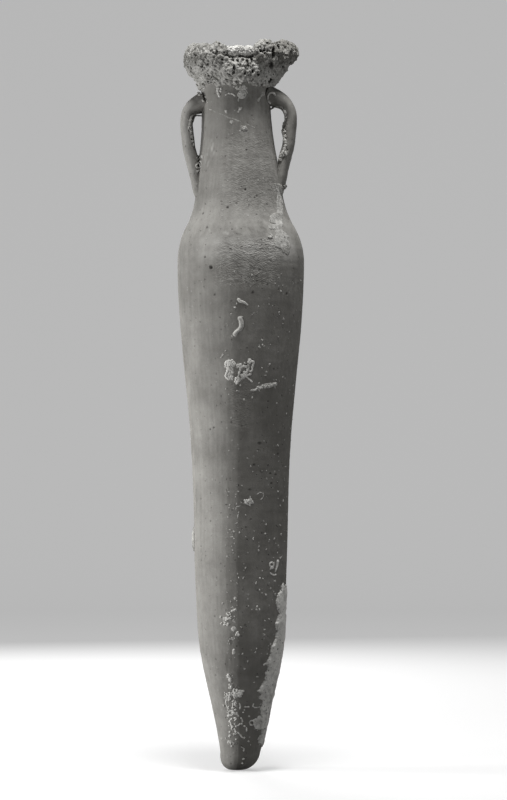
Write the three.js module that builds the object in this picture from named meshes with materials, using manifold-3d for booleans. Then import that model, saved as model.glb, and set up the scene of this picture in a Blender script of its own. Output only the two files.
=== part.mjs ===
// Slim two-handled transport jar with a pointed toe, as raised from the sea bed.
// Seven thrown pieces are luted end to end on bevelled edges, two rolled handles are luted to the neck,
// and hard sea growth sits on the mouth, the handles and the wall.
// Millimetres, +Z up, origin at the centre of the toe's flat tip, handles along X, -Y is the front.
import * as THREE from "three";
import { mergeVertices } from "three/addons/utils/BufferGeometryUtils.js";
import Module from "manifold-3d";

const wasm = await Module();
wasm.setup();

// Clay wall, and the film of slip that parts two luted pieces.
const wall = 8;
const scarfRise = 5;
const slip = 0.3;

// Thrown outline from the ground up. Each stretch has its height, and the radius and lean at its top.
const tip = { flatRadius: 6, roundHeight: 20, radius: 23.5, lean: 0.18 };
const toe = { height: 86, radius: 36.6, lean: 0.23, solidHeight: 72 };
const taper = { height: 74, radius: 50.2, lean: 0.08 };
const lowerWall = { height: 220, radius: 58.6, lean: 0.06 };
const upperWall = { height: 218, radius: 74.7, lean: 0 };
const shoulder = { height: 44, radius: 63, lean: -0.56 };
const neckRoot = { height: 48, radius: 50, lean: -0.1 };
const neckMiddle = { height: 58, radius: 42.5, lean: -0.1 };
const neckTop = { height: 86, radius: 41, lean: 0 };
const rim = { height: 15, radius: 50, bandHeight: 11, mouthRadius: 36.5, edge: 4 };

// The neck leans to the left of the body's axis, from the belt up, as some hand-thrown necks do.
const neckLean = -0.034;

// Facets round a thrown piece, and rows up each stretch of the outline.
const facets = 40;
const rows = { round: 5, toe: 4, taper: 4, lowerWall: 5, upperWall: 5, shoulder: 6, root: 6, middle: 3, top: 3 };

// Heights where one stretch ends and the next begins.
const toeTop = toe.height;
const taperTop = toeTop + taper.height;
const waist = taperTop + lowerWall.height;
const belt = waist + upperWall.height;
const shoulderTurn = belt + shoulder.height;
const neckBase = shoulderTurn + neckRoot.height;
const neckHalf = neckBase + neckMiddle.height;
const rimBase = neckHalf + neckTop.height;
const rimTop = rimBase + rim.height;

const clay = new THREE.MeshStandardMaterial({ color: 0x9a9894, roughness: 0.85, metalness: 0 });
const growth = new THREE.MeshStandardMaterial({ color: 0xa3a29c, roughness: 0.95, metalness: 0 });

// Radius at a share t of a stretch, which leaves its ends with the stated leans.
function easedRadius(low, high, height, t) {
  const lowPart = (1 + 2 * t) * (1 - t) ** 2 * low.radius + t * (1 - t) ** 2 * height * low.lean;
  const highPart = t * t * (3 - 2 * t) * high.radius - t * t * (1 - t) * height * high.lean;
  return lowPart + highPart;
}

function stretch(low, high, from, to, steps) {
  const points = [];
  for (let i = 1; i <= steps; i++) {
    const t = i / steps;
    points.push(new THREE.Vector2(easedRadius(low, high, to - from, t), from + (to - from) * t));
  }
  return points;
}

// The rounded tip is a quarter ellipse from the flat to the toe's side.
function roundedTip() {
  const points = [];
  for (let i = 0; i <= rows.round; i++) {
    const turn = (i / rows.round) * (Math.PI / 2);
    const radius = tip.flatRadius + (tip.radius - tip.flatRadius) * Math.sin(turn);
    points.push(new THREE.Vector2(radius, tip.roundHeight * (1 - Math.cos(turn))));
  }
  return points;
}

const outline = [
  ...roundedTip(),
  ...stretch(tip, toe, tip.roundHeight, toeTop, rows.toe),
  ...stretch(toe, taper, toeTop, taperTop, rows.taper),
  ...stretch(taper, lowerWall, taperTop, waist, rows.lowerWall),
  ...stretch(lowerWall, upperWall, waist, belt, rows.upperWall),
  ...stretch(upperWall, shoulder, belt, shoulderTurn, rows.shoulder),
  ...stretch(shoulder, neckRoot, shoulderTurn, neckBase, rows.root),
  ...stretch(neckRoot, neckMiddle, neckBase, neckHalf, rows.middle),
  ...stretch(neckMiddle, neckTop, neckHalf, rimBase, rows.top),
];

// Outside radius of the faceted wall at a height; above the neck it stays the neck's.
function radiusAt(height) {
  const above = outline.findIndex((point) => point.y > height);
  if (above < 0) return outline.at(-1).x;
  if (above === 0) return outline[0].x;
  const low = outline[above - 1];
  const high = outline[above];
  return low.x + ((high.x - low.x) * (height - low.y)) / (high.y - low.y);
}

// Heights of the outline's rows between two heights, both ends included.
function heightsBetween(low, high) {
  const inside = outline.map((point) => point.y).filter((y) => y > low + 1 && y < high - 1);
  return [low, ...inside, high];
}

// A closed profile of (radius, height) points turned round the vertical axis.
function turned(profile) {
  const geometry = new THREE.LatheGeometry(profile, facets);
  geometry.rotateX(Math.PI / 2);
  return geometry;
}

function solidOf(geometry) {
  const bare = geometry.index ? geometry.toNonIndexed() : geometry.clone();
  bare.deleteAttribute("normal");
  bare.deleteAttribute("uv");
  const merged = mergeVertices(bare, 1e-3);
  const vertProperties = new Float32Array(merged.attributes.position.array);
  const triVerts = new Uint32Array(merged.index.array);
  return new wasm.Manifold(new wasm.Mesh({ numProp: 3, vertProperties, triVerts }));
}

// A cut leaves edges shorter than clay can hold. Their ends are drawn together, which keeps the skin closed.
const shortestEdge = 0.05;

function withoutShortEdges(points, corners) {
  const home = points.map((_, i) => i);
  const homeOf = (i) => {
    while (home[i] !== i) i = home[i];
    return i;
  };
  for (let i = 0; i < corners.length; i++) {
    const next = i % 3 === 2 ? i - 2 : i + 1;
    const [a, b] = [homeOf(corners[i]), homeOf(corners[next])];
    if (a !== b && points[a].distanceTo(points[b]) < shortestEdge) home[b] = a;
  }
  const kept = [];
  for (let i = 0; i < corners.length; i += 3) {
    const [a, b, c] = [corners[i], corners[i + 1], corners[i + 2]].map(homeOf);
    if (a !== b && b !== c && c !== a) kept.push(a, b, c);
  }
  return kept;
}

function geometryOf(solid) {
  const mesh = solid.getMesh();
  const points = [];
  for (let i = 0; i < mesh.vertProperties.length; i += 3) {
    points.push(new THREE.Vector3().fromArray(mesh.vertProperties, i));
  }
  const geometry = new THREE.BufferGeometry().setFromPoints(points);
  geometry.setIndex(withoutShortEdges(points, Array.from(mesh.triVerts)));
  return mergeVertices(geometry.toNonIndexed(), 1e-4);
}

// The largest body left by a cut, without the crumbs.
function largestBody(solid) {
  return solid.decompose().reduce((best, body) => (body.volume() > best.volume() ? body : best));
}

// A closed skin over rings of equal count, with a fan over each end ring.
function lofted(rings) {
  const count = rings[0].length;
  const centre = (ring) => ring.reduce((sum, p) => sum.add(p), new THREE.Vector3()).divideScalar(count);
  const points = [...rings.flat(), centre(rings[0]), centre(rings.at(-1))];
  const last = (rings.length - 1) * count;
  const index = [];
  for (let j = 0; j < count; j++) {
    const next = (j + 1) % count;
    for (let base = 0; base < last; base += count) {
      index.push(base + j, base + next, base + count + next);
      index.push(base + j, base + count + next, base + count + j);
    }
    index.push(points.length - 2, next, j);
    index.push(points.length - 1, last + j, last + next);
  }
  const geometry = new THREE.BufferGeometry().setFromPoints(points);
  geometry.setIndex(index);
  geometry.computeVertexNormals();
  return geometry;
}

const jar = new THREE.Group();

// How far the leaning neck stands off the axis at a height. The lean sets in over the shoulder.
function leanAt(height) {
  const above = Math.max(0, height - belt);
  const eased = Math.min(above, shoulder.height);
  return neckLean * (above - eased + eased ** 2 / (2 * shoulder.height));
}

// Adds a piece, which is made upright and leans with the neck here.
function add(name, geometry, material) {
  const position = geometry.attributes.position;
  for (let i = 0; i < position.count; i++) position.setX(i, position.getX(i) + leanAt(position.getZ(i)));
  geometry.computeVertexNormals();
  const mesh = new THREE.Mesh(geometry, material);
  mesh.name = name;
  jar.add(mesh);
}

// Height that the slip film lifts a piece off the bevelled edge below it.
const slipLift = (slip * Math.hypot(wall, scarfRise)) / wall;

// One thrown ring of wall. Its bevelled edges rise inwards, so each ring sits in the one below.
// The inner face needs only every other row.
function thrownRing(low, high) {
  const heights = heightsBetween(low + slipLift, high);
  const outside = heights.map((y) => new THREE.Vector2(radiusAt(y), y));
  const inside = heights
    .filter((y, row) => row % 2 === 0 || row === heights.length - 1)
    .map((y) => new THREE.Vector2(radiusAt(y) - wall, y + scarfRise));
  return turned([...outside, ...inside.reverse(), outside[0].clone()]);
}

// Solid toe with a bowl-shaped floor on top, inside the bevelled edge.
function toePlug() {
  const outside = heightsBetween(0, toeTop).map((y) => new THREE.Vector2(radiusAt(y), y));
  const bowlRadius = toe.radius - wall;
  const bowlTop = toeTop + scarfRise;
  const bowl = [];
  for (let i = 0; i <= rows.round; i++) {
    const turn = (i / rows.round) * (Math.PI / 2);
    const height = toe.solidHeight + (bowlTop - toe.solidHeight) * (1 - Math.sin(turn));
    bowl.push(new THREE.Vector2(bowlRadius * Math.cos(turn), height));
  }
  bowl.at(-1).x = 0;
  return turned([new THREE.Vector2(0, 0), ...outside, ...bowl]);
}

// Outside of the rolled rim: a band that overhangs the neck, rounded at both edges. "grow" moves it outwards.
function rimOutside(grow) {
  const reach = rim.radius + grow;
  const top = rimTop + grow;
  const under = rimTop - rim.bandHeight - grow;
  const path = new THREE.Path();
  path.moveTo(neckTop.radius + grow, Math.min(under, rimBase + slipLift));
  path.lineTo(neckTop.radius + grow, under);
  path.lineTo(reach - rim.edge, under);
  path.quadraticCurveTo(reach, under, reach, under + rim.edge);
  path.lineTo(reach, top - rim.edge);
  path.quadraticCurveTo(reach, top, reach - rim.edge, top);
  path.lineTo(rim.mouthRadius + rim.edge / 2 - grow, top);
  return path.getPoints(3);
}

function rolledRim() {
  const innerRadius = neckTop.radius - wall;
  const innerFoot = rimBase + slipLift + scarfRise;
  const inside = [
    new THREE.Vector2(rim.mouthRadius, rimTop - rim.edge / 2),
    new THREE.Vector2(innerRadius, innerFoot + 1),
    new THREE.Vector2(innerRadius, innerFoot),
  ];
  const outside = rimOutside(0);
  return turned([...outside, ...inside, outside[0].clone()]);
}

add("toe", toePlug(), clay);
add("heel_wall", thrownRing(toeTop, taperTop), clay);
add("lower_wall", thrownRing(taperTop, waist), clay);
add("upper_wall", thrownRing(waist, belt), clay);
add("shoulder", thrownRing(belt, neckBase), clay);
add("neck", thrownRing(neckBase, rimBase), clay);
add("rim", rolledRim(), clay);

// Everything inside the jar's outer face, grown by the slip, as a cutter for what is stuck on it.
function jarEnvelope() {
  const low = shoulderTurn - 30;
  const side = heightsBetween(low, rimBase).map((y) => new THREE.Vector2(radiusAt(y) + slip, y));
  const above = rimTop + 60;
  const lip = rimOutside(slip).filter((point) => point.y > rimBase + 1);
  const bore = lip.at(-1).x;
  return solidOf(
    turned([
      new THREE.Vector2(0, low),
      ...side,
      ...lip,
      new THREE.Vector2(bore, above),
      new THREE.Vector2(0, above),
    ]),
  );
}

const envelope = jarEnvelope();

// Rolled clay handles. A strap leaves the neck under the rim, bows out and is wiped down onto the neck's foot.
const handle = {
  thickness: 15,
  width: 32,
  rootThickness: 25,
  rootWidth: 42,
  footThickness: 14,
  footWidth: 36,
  footBelowNeck: 14,
  sides: 14,
  steps: 16,
};
// The left handle was set lower and closer to the neck than the right one; both feet end at one height,
// below the foot of the neck.
const right = { topBelowRim: 37, reach: 22.5 };
const left = { topBelowRim: 45, reach: 17.6 };
// Shares of the way down and of the reach that the strap's middle passes through.
const bow = [
  [0, -0.25],
  [0.06, 0.48],
  [0.11, 0.81],
  [0.18, 0.98],
  [0.26, 1],
  [0.37, 0.89],
  [0.49, 0.74],
  [0.6, 0.49],
  [0.72, 0.22],
  [0.83, 0],
  [0.94, -0.22],
  [1, -0.4],
];

// A size that turns into another towards the root and into a third towards the foot.
function blended(size, atRoot, root, atFoot, foot) {
  return size + (atRoot - size) * root + (atFoot - size) * foot;
}

// Rings along a strap on the +X side, grown outwards by "grow".
function handleRings(side, grow) {
  const top = rimBase - side.topBelowRim;
  const drop = top - (neckBase - handle.footBelowNeck);
  const path = new THREE.CatmullRomCurve3(
    bow.map(([down, out]) => {
      const height = top - drop * down;
      return new THREE.Vector3(radiusAt(height) + side.reach * out, 0, height);
    }),
  );
  const across = new THREE.Vector3(0, 1, 0);
  const rings = [];
  for (let i = 0; i <= handle.steps; i++) {
    const share = i / handle.steps;
    const centre = path.getPoint(share);
    const outward = new THREE.Vector3().crossVectors(across, path.getTangent(share)).negate();
    const root = Math.max(0, 1 - share / 0.3) ** 2;
    const foot = THREE.MathUtils.smoothstep(share, 0.55, 1);
    const thickness = blended(handle.thickness, handle.rootThickness, root, handle.footThickness, foot);
    const width = blended(handle.width, handle.rootWidth, root, handle.footWidth, foot);
    const ring = [];
    for (let j = 0; j < handle.sides; j++) {
      const turn = (j / handle.sides) * 2 * Math.PI;
      const point = centre.clone();
      point.addScaledVector(across, (width / 2 + grow) * Math.cos(turn));
      point.addScaledVector(outward, (thickness / 2 + grow) * Math.sin(turn));
      ring.push(point);
    }
    rings.push(ring);
  }
  return rings;
}

function strap(side, grow) {
  const solid = solidOf(lofted(handleRings(side, grow)));
  return side === left ? solid.rotate([0, 0, 180]) : solid;
}

add("handle_right", geometryOf(largestBody(strap(right, 0).subtract(envelope))), clay);
add("handle_left", geometryOf(largestBody(strap(left, 0).subtract(envelope))), clay);

const degrees = THREE.MathUtils.degToRad;

// A point at an azimuth counted from the front, positive towards +X, and a radius and a height.
function around(azimuth, radius, height) {
  return new THREE.Vector3(radius * Math.sin(degrees(azimuth)), -radius * Math.cos(degrees(azimuth)), height);
}

// Hard sea growth round the mouth: a thin collar under the rim that carries lumps.
// A lump's place is its azimuth, its radius from the axis and its height below the rim's top;
// its half sizes run outwards, round the neck and upwards.
const collar = { foot: 44, top: 10, thickness: 5 };
const lumps = [
  { azimuth: -87, radius: 44, below: 13, half: [14.5, 27, 20] },
  { azimuth: -50, radius: 46, below: 14, half: [12, 20, 18] },
  { azimuth: -26, radius: 48, below: 14, half: [9, 12, 16] },
  { azimuth: -25, radius: 47, below: 2, half: [6, 7, 7] },
  { azimuth: 8, radius: 45, below: 27, half: [9, 22, 14] },
  { azimuth: 48, radius: 48, below: 8, half: [12, 18, 17] },
  { azimuth: 88, radius: 58, below: 3, half: [17, 18, 14] },
  { azimuth: 86, radius: 48, below: 16, half: [15, 17, 16] },
  { azimuth: 84, radius: 42, below: 25, half: [11, 25, 18] },
  { azimuth: 130, radius: 46, below: 12, half: [12, 28, 20] },
  { azimuth: 178, radius: 47, below: 13, half: [11, 28, 19] },
  { azimuth: -134, radius: 46, below: 13, half: [13, 28, 20] },
];
const lumpFacets = { round: 11, up: 7 };

function lumpSolid(lump) {
  const geometry = new THREE.SphereGeometry(1, lumpFacets.round, lumpFacets.up);
  geometry.scale(lump.half[0], lump.half[1], lump.half[2]);
  geometry.rotateZ(degrees(lump.azimuth - 90));
  const centre = around(lump.azimuth, lump.radius, rimTop - lump.below);
  return solidOf(geometry.translate(centre.x, centre.y, centre.z));
}

function collarSolid() {
  const inner = neckTop.radius - wall / 2;
  const outer = neckTop.radius + collar.thickness;
  return solidOf(
    turned([
      new THREE.Vector2(inner, rimTop - collar.foot),
      new THREE.Vector2(outer, rimTop - collar.foot + collar.thickness),
      new THREE.Vector2(outer, rimTop - collar.top - collar.thickness),
      new THREE.Vector2(inner, rimTop - collar.top),
      new THREE.Vector2(inner, rimTop - collar.foot),
    ]),
  );
}

const mouthCrust = lumps
  .reduce((sum, lump) => sum.add(lumpSolid(lump)), collarSolid())
  .subtract(envelope)
  .subtract(strap(right, slip))
  .subtract(strap(left, slip));
add("mouth_crust", geometryOf(largestBody(mouthCrust)), growth);

// A domed patch of growth on the wall, with an outline that waves in and out.
// "wide" is measured round the jar and "tall" up it; "tilt" turns the patch about its middle.
const patchGrid = { rings: 3, points: 14, wave: 0.16, edge: 0.5 };

function patchPoint(patch, share, turn, lift) {
  const reach = share * (1 + patchGrid.wave * Math.sin(patch.waves * turn + patch.height));
  const across = (reach * patch.wide * Math.cos(turn)) / 2;
  const up = (reach * patch.tall * Math.sin(turn)) / 2;
  const tilt = degrees(patch.tilt ?? 0);
  const height = patch.height + up * Math.cos(tilt) + across * Math.sin(tilt);
  const round = across * Math.cos(tilt) - up * Math.sin(tilt);
  const radius = radiusAt(height);
  return around(patch.azimuth + THREE.MathUtils.radToDeg(round / radius), radius + slip + lift, height);
}

function patchGeometry(patch) {
  const ringAt = (share, lift) =>
    Array.from({ length: patchGrid.points }, (_, j) =>
      patchPoint(patch, share, (j / patchGrid.points) * 2 * Math.PI, lift),
    );
  const rings = [];
  for (let k = 1; k <= patchGrid.rings; k++) rings.push(ringAt(k / patchGrid.rings, 0));
  for (let k = patchGrid.rings; k >= 1; k--) {
    const share = k / patchGrid.rings;
    rings.push(ringAt(share * 0.97, patchGrid.edge + (patch.thick - patchGrid.edge) * (1 - share * share)));
  }
  return lofted(rings);
}

// Patches that the front shows, with heights from the ground or from the part of the jar they sit on.
const patches = {
  shoulder_crust: { height: belt + 35, azimuth: 42, wide: 21, tall: 52, thick: 2, waves: 3 },
  handle_foot_crust: { height: neckBase - 8, azimuth: 62, wide: 10, tall: 34, thick: 2.4, waves: 2 },
  neck_barnacle: { height: rimBase - 37, azimuth: 5, wide: 11, tall: 11, thick: 4, waves: 2 },
  belly_crust: { height: waist + 85, azimuth: -4, wide: 34, tall: 24, thick: 3, waves: 4 },
  belly_streak: { height: waist + 66, azimuth: 25, wide: 31, tall: 8, thick: 2, waves: 3, tilt: 10 },
  waist_spot: { height: waist - 62, azimuth: 10, wide: 15, tall: 10, thick: 2.4, waves: 3 },
  flank_lump: { height: taperTop + 118, azimuth: -93, wide: 14, tall: 30, thick: 3, waves: 2 },
  ring_growth: { height: taperTop + 79, azimuth: 47, wide: 17, tall: 17, thick: 2.2, waves: 2 },
  heel_crust: { height: taperTop + 19, azimuth: -19, wide: 18, tall: 22, thick: 2.2, waves: 4 },
  toe_crust: { height: toeTop - 12, azimuth: -14, wide: 27, tall: 58, thick: 2.6, waves: 4 },
};
for (const [name, patch] of Object.entries(patches)) add(name, patchGeometry(patch), growth);

// A worm's tube that lies on the wall along a run of (azimuth, height) points.
const tubeSides = 7;

function tubeGeometry(tube) {
  const course = new THREE.CatmullRomCurve3(tube.run.map(([azimuth, height]) => new THREE.Vector3(azimuth, height, 0)));
  const onWall = (share) => {
    const { x: azimuth, y: height } = course.getPoint(share);
    return around(azimuth, radiusAt(height) + slip + tube.bore / 2 + 0.2, height);
  };
  const rings = [];
  const steps = tube.run.length * 3;
  const nudge = 0.01;
  for (let i = 0; i <= steps; i++) {
    const share = i / steps;
    const centre = onWall(share);
    const outward = new THREE.Vector3(centre.x, centre.y, 0).normalize();
    const along = onWall(Math.min(1, share + nudge)).sub(onWall(Math.max(0, share - nudge))).normalize();
    const side = new THREE.Vector3().crossVectors(outward, along).normalize();
    const lift = new THREE.Vector3().crossVectors(along, side).normalize();
    const radius = (tube.bore / 2) * (0.62 + 0.38 * Math.sin(Math.PI * Math.min(1, 0.12 + share)));
    rings.push(
      Array.from({ length: tubeSides }, (_, j) => {
        const turn = (j / tubeSides) * 2 * Math.PI;
        return centre
          .clone()
          .addScaledVector(side, radius * Math.cos(turn))
          .addScaledVector(lift, radius * Math.sin(turn));
      }),
    );
  }
  return lofted(rings);
}

const tubes = {
  worm_tube_long: {
    bore: 5,
    run: [
      [0, belt - 59],
      [1, belt - 68],
      [-3, belt - 77],
      [-7, belt - 83],
    ],
  },
  worm_tube_short: {
    bore: 4.6,
    run: [
      [-3, belt - 44],
      [1, belt - 47],
      [5, belt - 49],
    ],
  },
  neck_thread: {
    bore: 3,
    run: [
      [-50, rimBase - 53],
      [-19, rimBase - 62],
      [4, rimBase - 69],
      [18, rimBase - 74],
      [30, rimBase - 77],
    ],
  },
};
for (const [name, tube] of Object.entries(tubes)) add(name, tubeGeometry(tube), growth);

// Growth down the right flank, from above the taper to near the tip. Each station has its share of the way up,
// the azimuths it runs between and how much of the full thickness it has.
const flank = { foot: 27, height: 197, thick: 3, clearance: 0.6 };
const flankStations = [
  { up: 1, from: 67, to: 92, thick: 0.33 },
  { up: 0.87, from: 54, to: 104, thick: 0.73 },
  { up: 0.78, from: 58, to: 108, thick: 0.87 },
  { up: 0.64, from: 53, to: 110, thick: 0.87 },
  { up: 0.49, from: 46, to: 108, thick: 1 },
  { up: 0.34, from: 33, to: 106, thick: 0.87 },
  { up: 0.25, from: 42, to: 108, thick: 1 },
  { up: 0.16, from: 45, to: 110, thick: 1 },
  { up: 0.07, from: 56, to: 112, thick: 0.87 },
  { up: 0, from: 78, to: 104, thick: 0.33 },
];

// The stations with one more halfway between each two, so that the underside follows the wall.
function withHalfway(stations) {
  return stations.flatMap((station, i) => {
    const next = stations[i + 1];
    if (!next) return [station];
    const half = {};
    for (const key of Object.keys(station)) half[key] = (station[key] + next[key]) / 2;
    return [station, half];
  });
}

function flankGeometry() {
  const across = 7;
  const rings = withHalfway(flankStations).map((station) => {
    const height = flank.foot + flank.height * station.up;
    const under = [];
    const over = [];
    for (let i = 0; i <= across; i++) {
      const share = i / across;
      const azimuth = station.from + (station.to - station.from) * share;
      const radius = radiusAt(height) + flank.clearance;
      const swell = patchGrid.edge + (flank.thick * station.thick - patchGrid.edge) * Math.sin(Math.PI * share);
      under.push(around(azimuth, radius, height));
      over.push(around(azimuth, radius + swell, height));
    }
    return [...under, ...over.reverse()];
  });
  return lofted(rings);
}

add("flank_crust", flankGeometry(), growth);

export default jar;
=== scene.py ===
# Slim two-handled transport jar with a pointed toe, as it came up from the sea bed: bare fired clay,
# its mouth buried in coral-like crust and its wall spotted with growth.
import math

import bpy
import numpy as np
from mathutils import Matrix, Vector
from mathutils.bvhtree import BVHTree


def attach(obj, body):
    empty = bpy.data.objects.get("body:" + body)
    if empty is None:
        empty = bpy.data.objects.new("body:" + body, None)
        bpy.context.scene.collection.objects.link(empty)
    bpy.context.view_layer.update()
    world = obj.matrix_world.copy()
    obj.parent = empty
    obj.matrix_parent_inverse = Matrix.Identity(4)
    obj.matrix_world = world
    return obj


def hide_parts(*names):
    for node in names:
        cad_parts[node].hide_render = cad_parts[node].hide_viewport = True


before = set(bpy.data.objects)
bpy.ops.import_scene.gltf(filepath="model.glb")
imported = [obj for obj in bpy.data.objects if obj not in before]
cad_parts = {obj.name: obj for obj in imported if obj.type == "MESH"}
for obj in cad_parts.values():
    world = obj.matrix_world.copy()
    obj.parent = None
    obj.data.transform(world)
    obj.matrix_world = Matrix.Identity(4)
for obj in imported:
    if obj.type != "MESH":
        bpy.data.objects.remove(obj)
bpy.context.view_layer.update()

# Camera and stage
# The jar stands upright on its toe in front of a plain pale backdrop, seen level from its front.
MM = 0.001
PIXEL_MM = 1.18
PIXEL = PIXEL_MM * MM
FRAME_PIXELS = (507, 800)
AXIS_PIXEL = 240.75
GROUND_PIXEL = 769.5
CAMERA_DISTANCE = 4.0
SENSOR = 24.0

middle_x = (FRAME_PIXELS[0] / 2 - AXIS_PIXEL) * PIXEL
middle_z = (GROUND_PIXEL - FRAME_PIXELS[1] / 2) * PIXEL
camera_data = bpy.data.cameras.new("camera")
camera_data.sensor_fit = "VERTICAL"
camera_data.sensor_height = SENSOR
camera_data.lens = SENSOR * CAMERA_DISTANCE / (FRAME_PIXELS[1] * PIXEL)
camera_data.clip_end = 30
camera = bpy.data.objects.new("camera", camera_data)
camera.location = (middle_x, -CAMERA_DISTANCE, middle_z)
camera.rotation_euler = (math.pi / 2, 0, 0)
bpy.context.scene.collection.objects.link(camera)
bpy.context.scene.camera = camera
bpy.context.scene.view_settings.view_transform = "Standard"


def add_node(tree, kind, settings=None, inputs=None):
    """A node of a kind, with its settings, and its inputs joined to a socket or set to a value."""
    node = tree.nodes.new(kind)
    for name, value in (settings or {}).items():
        setattr(node, name, value)
    for key, value in (inputs or {}).items():
        if isinstance(value, bpy.types.NodeSocket):
            tree.links.new(value, node.inputs[key])
        else:
            node.inputs[key].default_value = value
    return node


def combine(tree, operation, *values):
    """The output of a Math node."""
    return add_node(tree, "ShaderNodeMath", {"operation": operation}, dict(enumerate(values))).outputs[0]


def ramp(tree, value, low, high, to_low=0.0, to_high=1.0):
    """A value eased from one range to another."""
    settings = {"interpolation_type": "SMOOTHSTEP"}
    inputs = {"Value": value, "From Min": low, "From Max": high, "To Min": to_low, "To Max": to_high}
    return add_node(tree, "ShaderNodeMapRange", settings, inputs).outputs["Result"]


def noise_texture(tree, vector, scale, detail, roughness=0.5):
    """The output of a Noise Texture node, from 0 to 1."""
    inputs = {"Vector": vector, "Scale": scale, "Detail": detail, "Roughness": roughness}
    return add_node(tree, "ShaderNodeTexNoise", None, inputs).outputs[0]


def grey(level):
    return (level, level, level, 1)


def bare_material(name):
    """A new material's node tree, without its first nodes, and the material."""
    material = bpy.data.materials.new(name)
    material.use_nodes = True
    material.node_tree.nodes.clear()
    return material, material.node_tree


def mesh_object(name, points, faces):
    """An object in the scene, made of points in metres and faces."""
    mesh = bpy.data.meshes.new(name)
    mesh.from_pydata([tuple(p) for p in points], [], faces)
    mesh.update()
    piece = bpy.data.objects.new(name, mesh)
    bpy.context.scene.collection.objects.link(piece)
    return piece


# Greys of the paper: under the lamps, its own glow to the camera, and what it gives back to the jar.
PAPER_LIT = 0.62
PAPER_SHOWN = 0.78
PAPER_GLOW = 0.55
PAPER_BOUNCE = 0.12


def make_stage():
    """Floor and backdrop in one sweep, as a paper roll gives."""
    half_width, front, back, turn, top = 6.0, -6.0, 3.0, 1.5, 6.0
    steps = 24
    section = [(front, 0.0)]
    for i in range(steps + 1):
        angle = math.pi / 2 * i / steps
        section.append((back + turn * math.sin(angle), turn * (1 - math.cos(angle))))
    section.append((back + turn, top))
    points = [(side * half_width, y, z) for y, z in section for side in (-1, 1)]
    faces = [(2 * i, 2 * i + 1, 2 * i + 3, 2 * i + 2) for i in range(len(section) - 1)]
    sweep = mesh_object("backdrop", points, faces)
    for polygon in sweep.data.polygons:
        polygon.use_smooth = True
    material, tree = bare_material("paper")
    lit = add_node(tree, "ShaderNodeBsdfDiffuse", None, {"Color": grey(PAPER_LIT)})
    inputs = {"Color": grey(PAPER_SHOWN), "Strength": PAPER_GLOW}
    shown = add_node(tree, "ShaderNodeEmission", None, inputs)
    both = add_node(tree, "ShaderNodeAddShader", None, {0: lit.outputs[0], 1: shown.outputs[0]})
    dull = add_node(tree, "ShaderNodeBsdfDiffuse", None, {"Color": grey(PAPER_BOUNCE)})
    path = add_node(tree, "ShaderNodeLightPath")
    seen = combine(tree, "ADD", path.outputs["Is Camera Ray"], path.outputs["Is Glossy Ray"])
    seen = combine(tree, "ADD", seen, path.outputs["Is Transmission Ray"])
    seen = combine(tree, "MINIMUM", seen, 1.0)
    mixed = add_node(tree, "ShaderNodeMixShader", None, {0: seen, 1: dull.outputs[0], 2: both.outputs[0]})
    add_node(tree, "ShaderNodeOutputMaterial", None, {"Surface": mixed.outputs[0]})
    sweep.data.materials.append(material)


make_stage()


def add_lamp(name, place, aim, size, level):
    """A rectangular soft lamp. Its level is what it adds to a white surface that faces it at the aim."""
    place, aim = np.array(place), np.array(aim)
    reach = np.linalg.norm(place - aim)
    data = bpy.data.lights.new(name, "AREA")
    data.shape = "RECTANGLE"
    data.size, data.size_y = size
    data.energy = level * (math.pi * reach) ** 2
    lamp = bpy.data.objects.new(name, data)
    lamp.visible_camera = False
    lamp.location = place
    out = (place - aim) / reach
    side = np.cross((0, 0, 1), out)
    side = side / np.linalg.norm(side)
    up = np.cross(out, side)
    turn = np.array([side, up, out])
    lamp.rotation_euler = Matrix(turn.T.tolist()).to_euler()
    bpy.context.scene.collection.objects.link(lamp)


# Name, place, aim, size and level of each lamp: a narrow key from the left and a soft one from above
# draw the photograph's light, and the others fill its shadows.
LAMPS = [
    ("key", (-0.80, 0.0, 0.22), (-0.05, 0, 0.22), (0.08, 0.5), 0.98),
    ("left_fill", (-1.0, -0.58, 0.35), (0, 0, 0.35), (0.3, 0.6), 0.28),
    ("front_fill", (-1.1, -1.7, 0.6), (0, 0, 0.45), (0.8, 0.8), 0.08),
    ("right_fill", (1.6, -0.5, 0.4), (0, 0, 0.4), (0.8, 0.8), 0.17),
    ("top", (0.05, -0.27, 1.86), (0, 0, 0.63), (0.3, 0.3), 1.22),
    ("back", (-0.35, 1.7, 1.1), (0, 0, 0.45), (0.9, 0.9), 0.6),
]
ROOM_GREY = 0.8
ROOM_STRENGTH = 0.035
for lamp in LAMPS:
    add_lamp(*lamp)
world = bpy.data.worlds.new("room")
world.use_nodes = True
room = world.node_tree.nodes["Background"].inputs
room["Color"].default_value = grey(ROOM_GREY)
room["Strength"].default_value = ROOM_STRENGTH
bpy.context.scene.world = world


# Thrown wall
# The jar's body is thrown on the wheel in seven pieces of coarse clay and luted end to end on bevelled
# edges. Its outline repeats the CAD's, in millimetres: each stretch has its height, and the radius and
# lean of its end.
WALL = 8
SCARF_RISE = 5
TIP = {"flat": 6, "height": 20, "radius": 23.5, "lean": 0.18}
TOE = {"height": 86, "radius": 36.6, "lean": 0.23}
TOE_SOLID = 72
TAPER = {"height": 74, "radius": 50.2, "lean": 0.08}
LOWER_WALL = {"height": 220, "radius": 58.6, "lean": 0.06}
UPPER_WALL = {"height": 218, "radius": 74.7, "lean": 0}
SHOULDER = {"height": 44, "radius": 63, "lean": -0.56}
NECK_ROOT = {"height": 48, "radius": 50, "lean": -0.1}
NECK_MIDDLE = {"height": 58, "radius": 42.5, "lean": -0.1}
NECK_TOP = {"height": 86, "radius": 41, "lean": 0}
RIM = {"height": 15, "radius": 50, "band": 11, "mouth": 36.5, "edge": 4}
NECK_LEAN = -0.034
TOE_TOP = TOE["height"]
TAPER_TOP = TOE_TOP + TAPER["height"]
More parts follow.
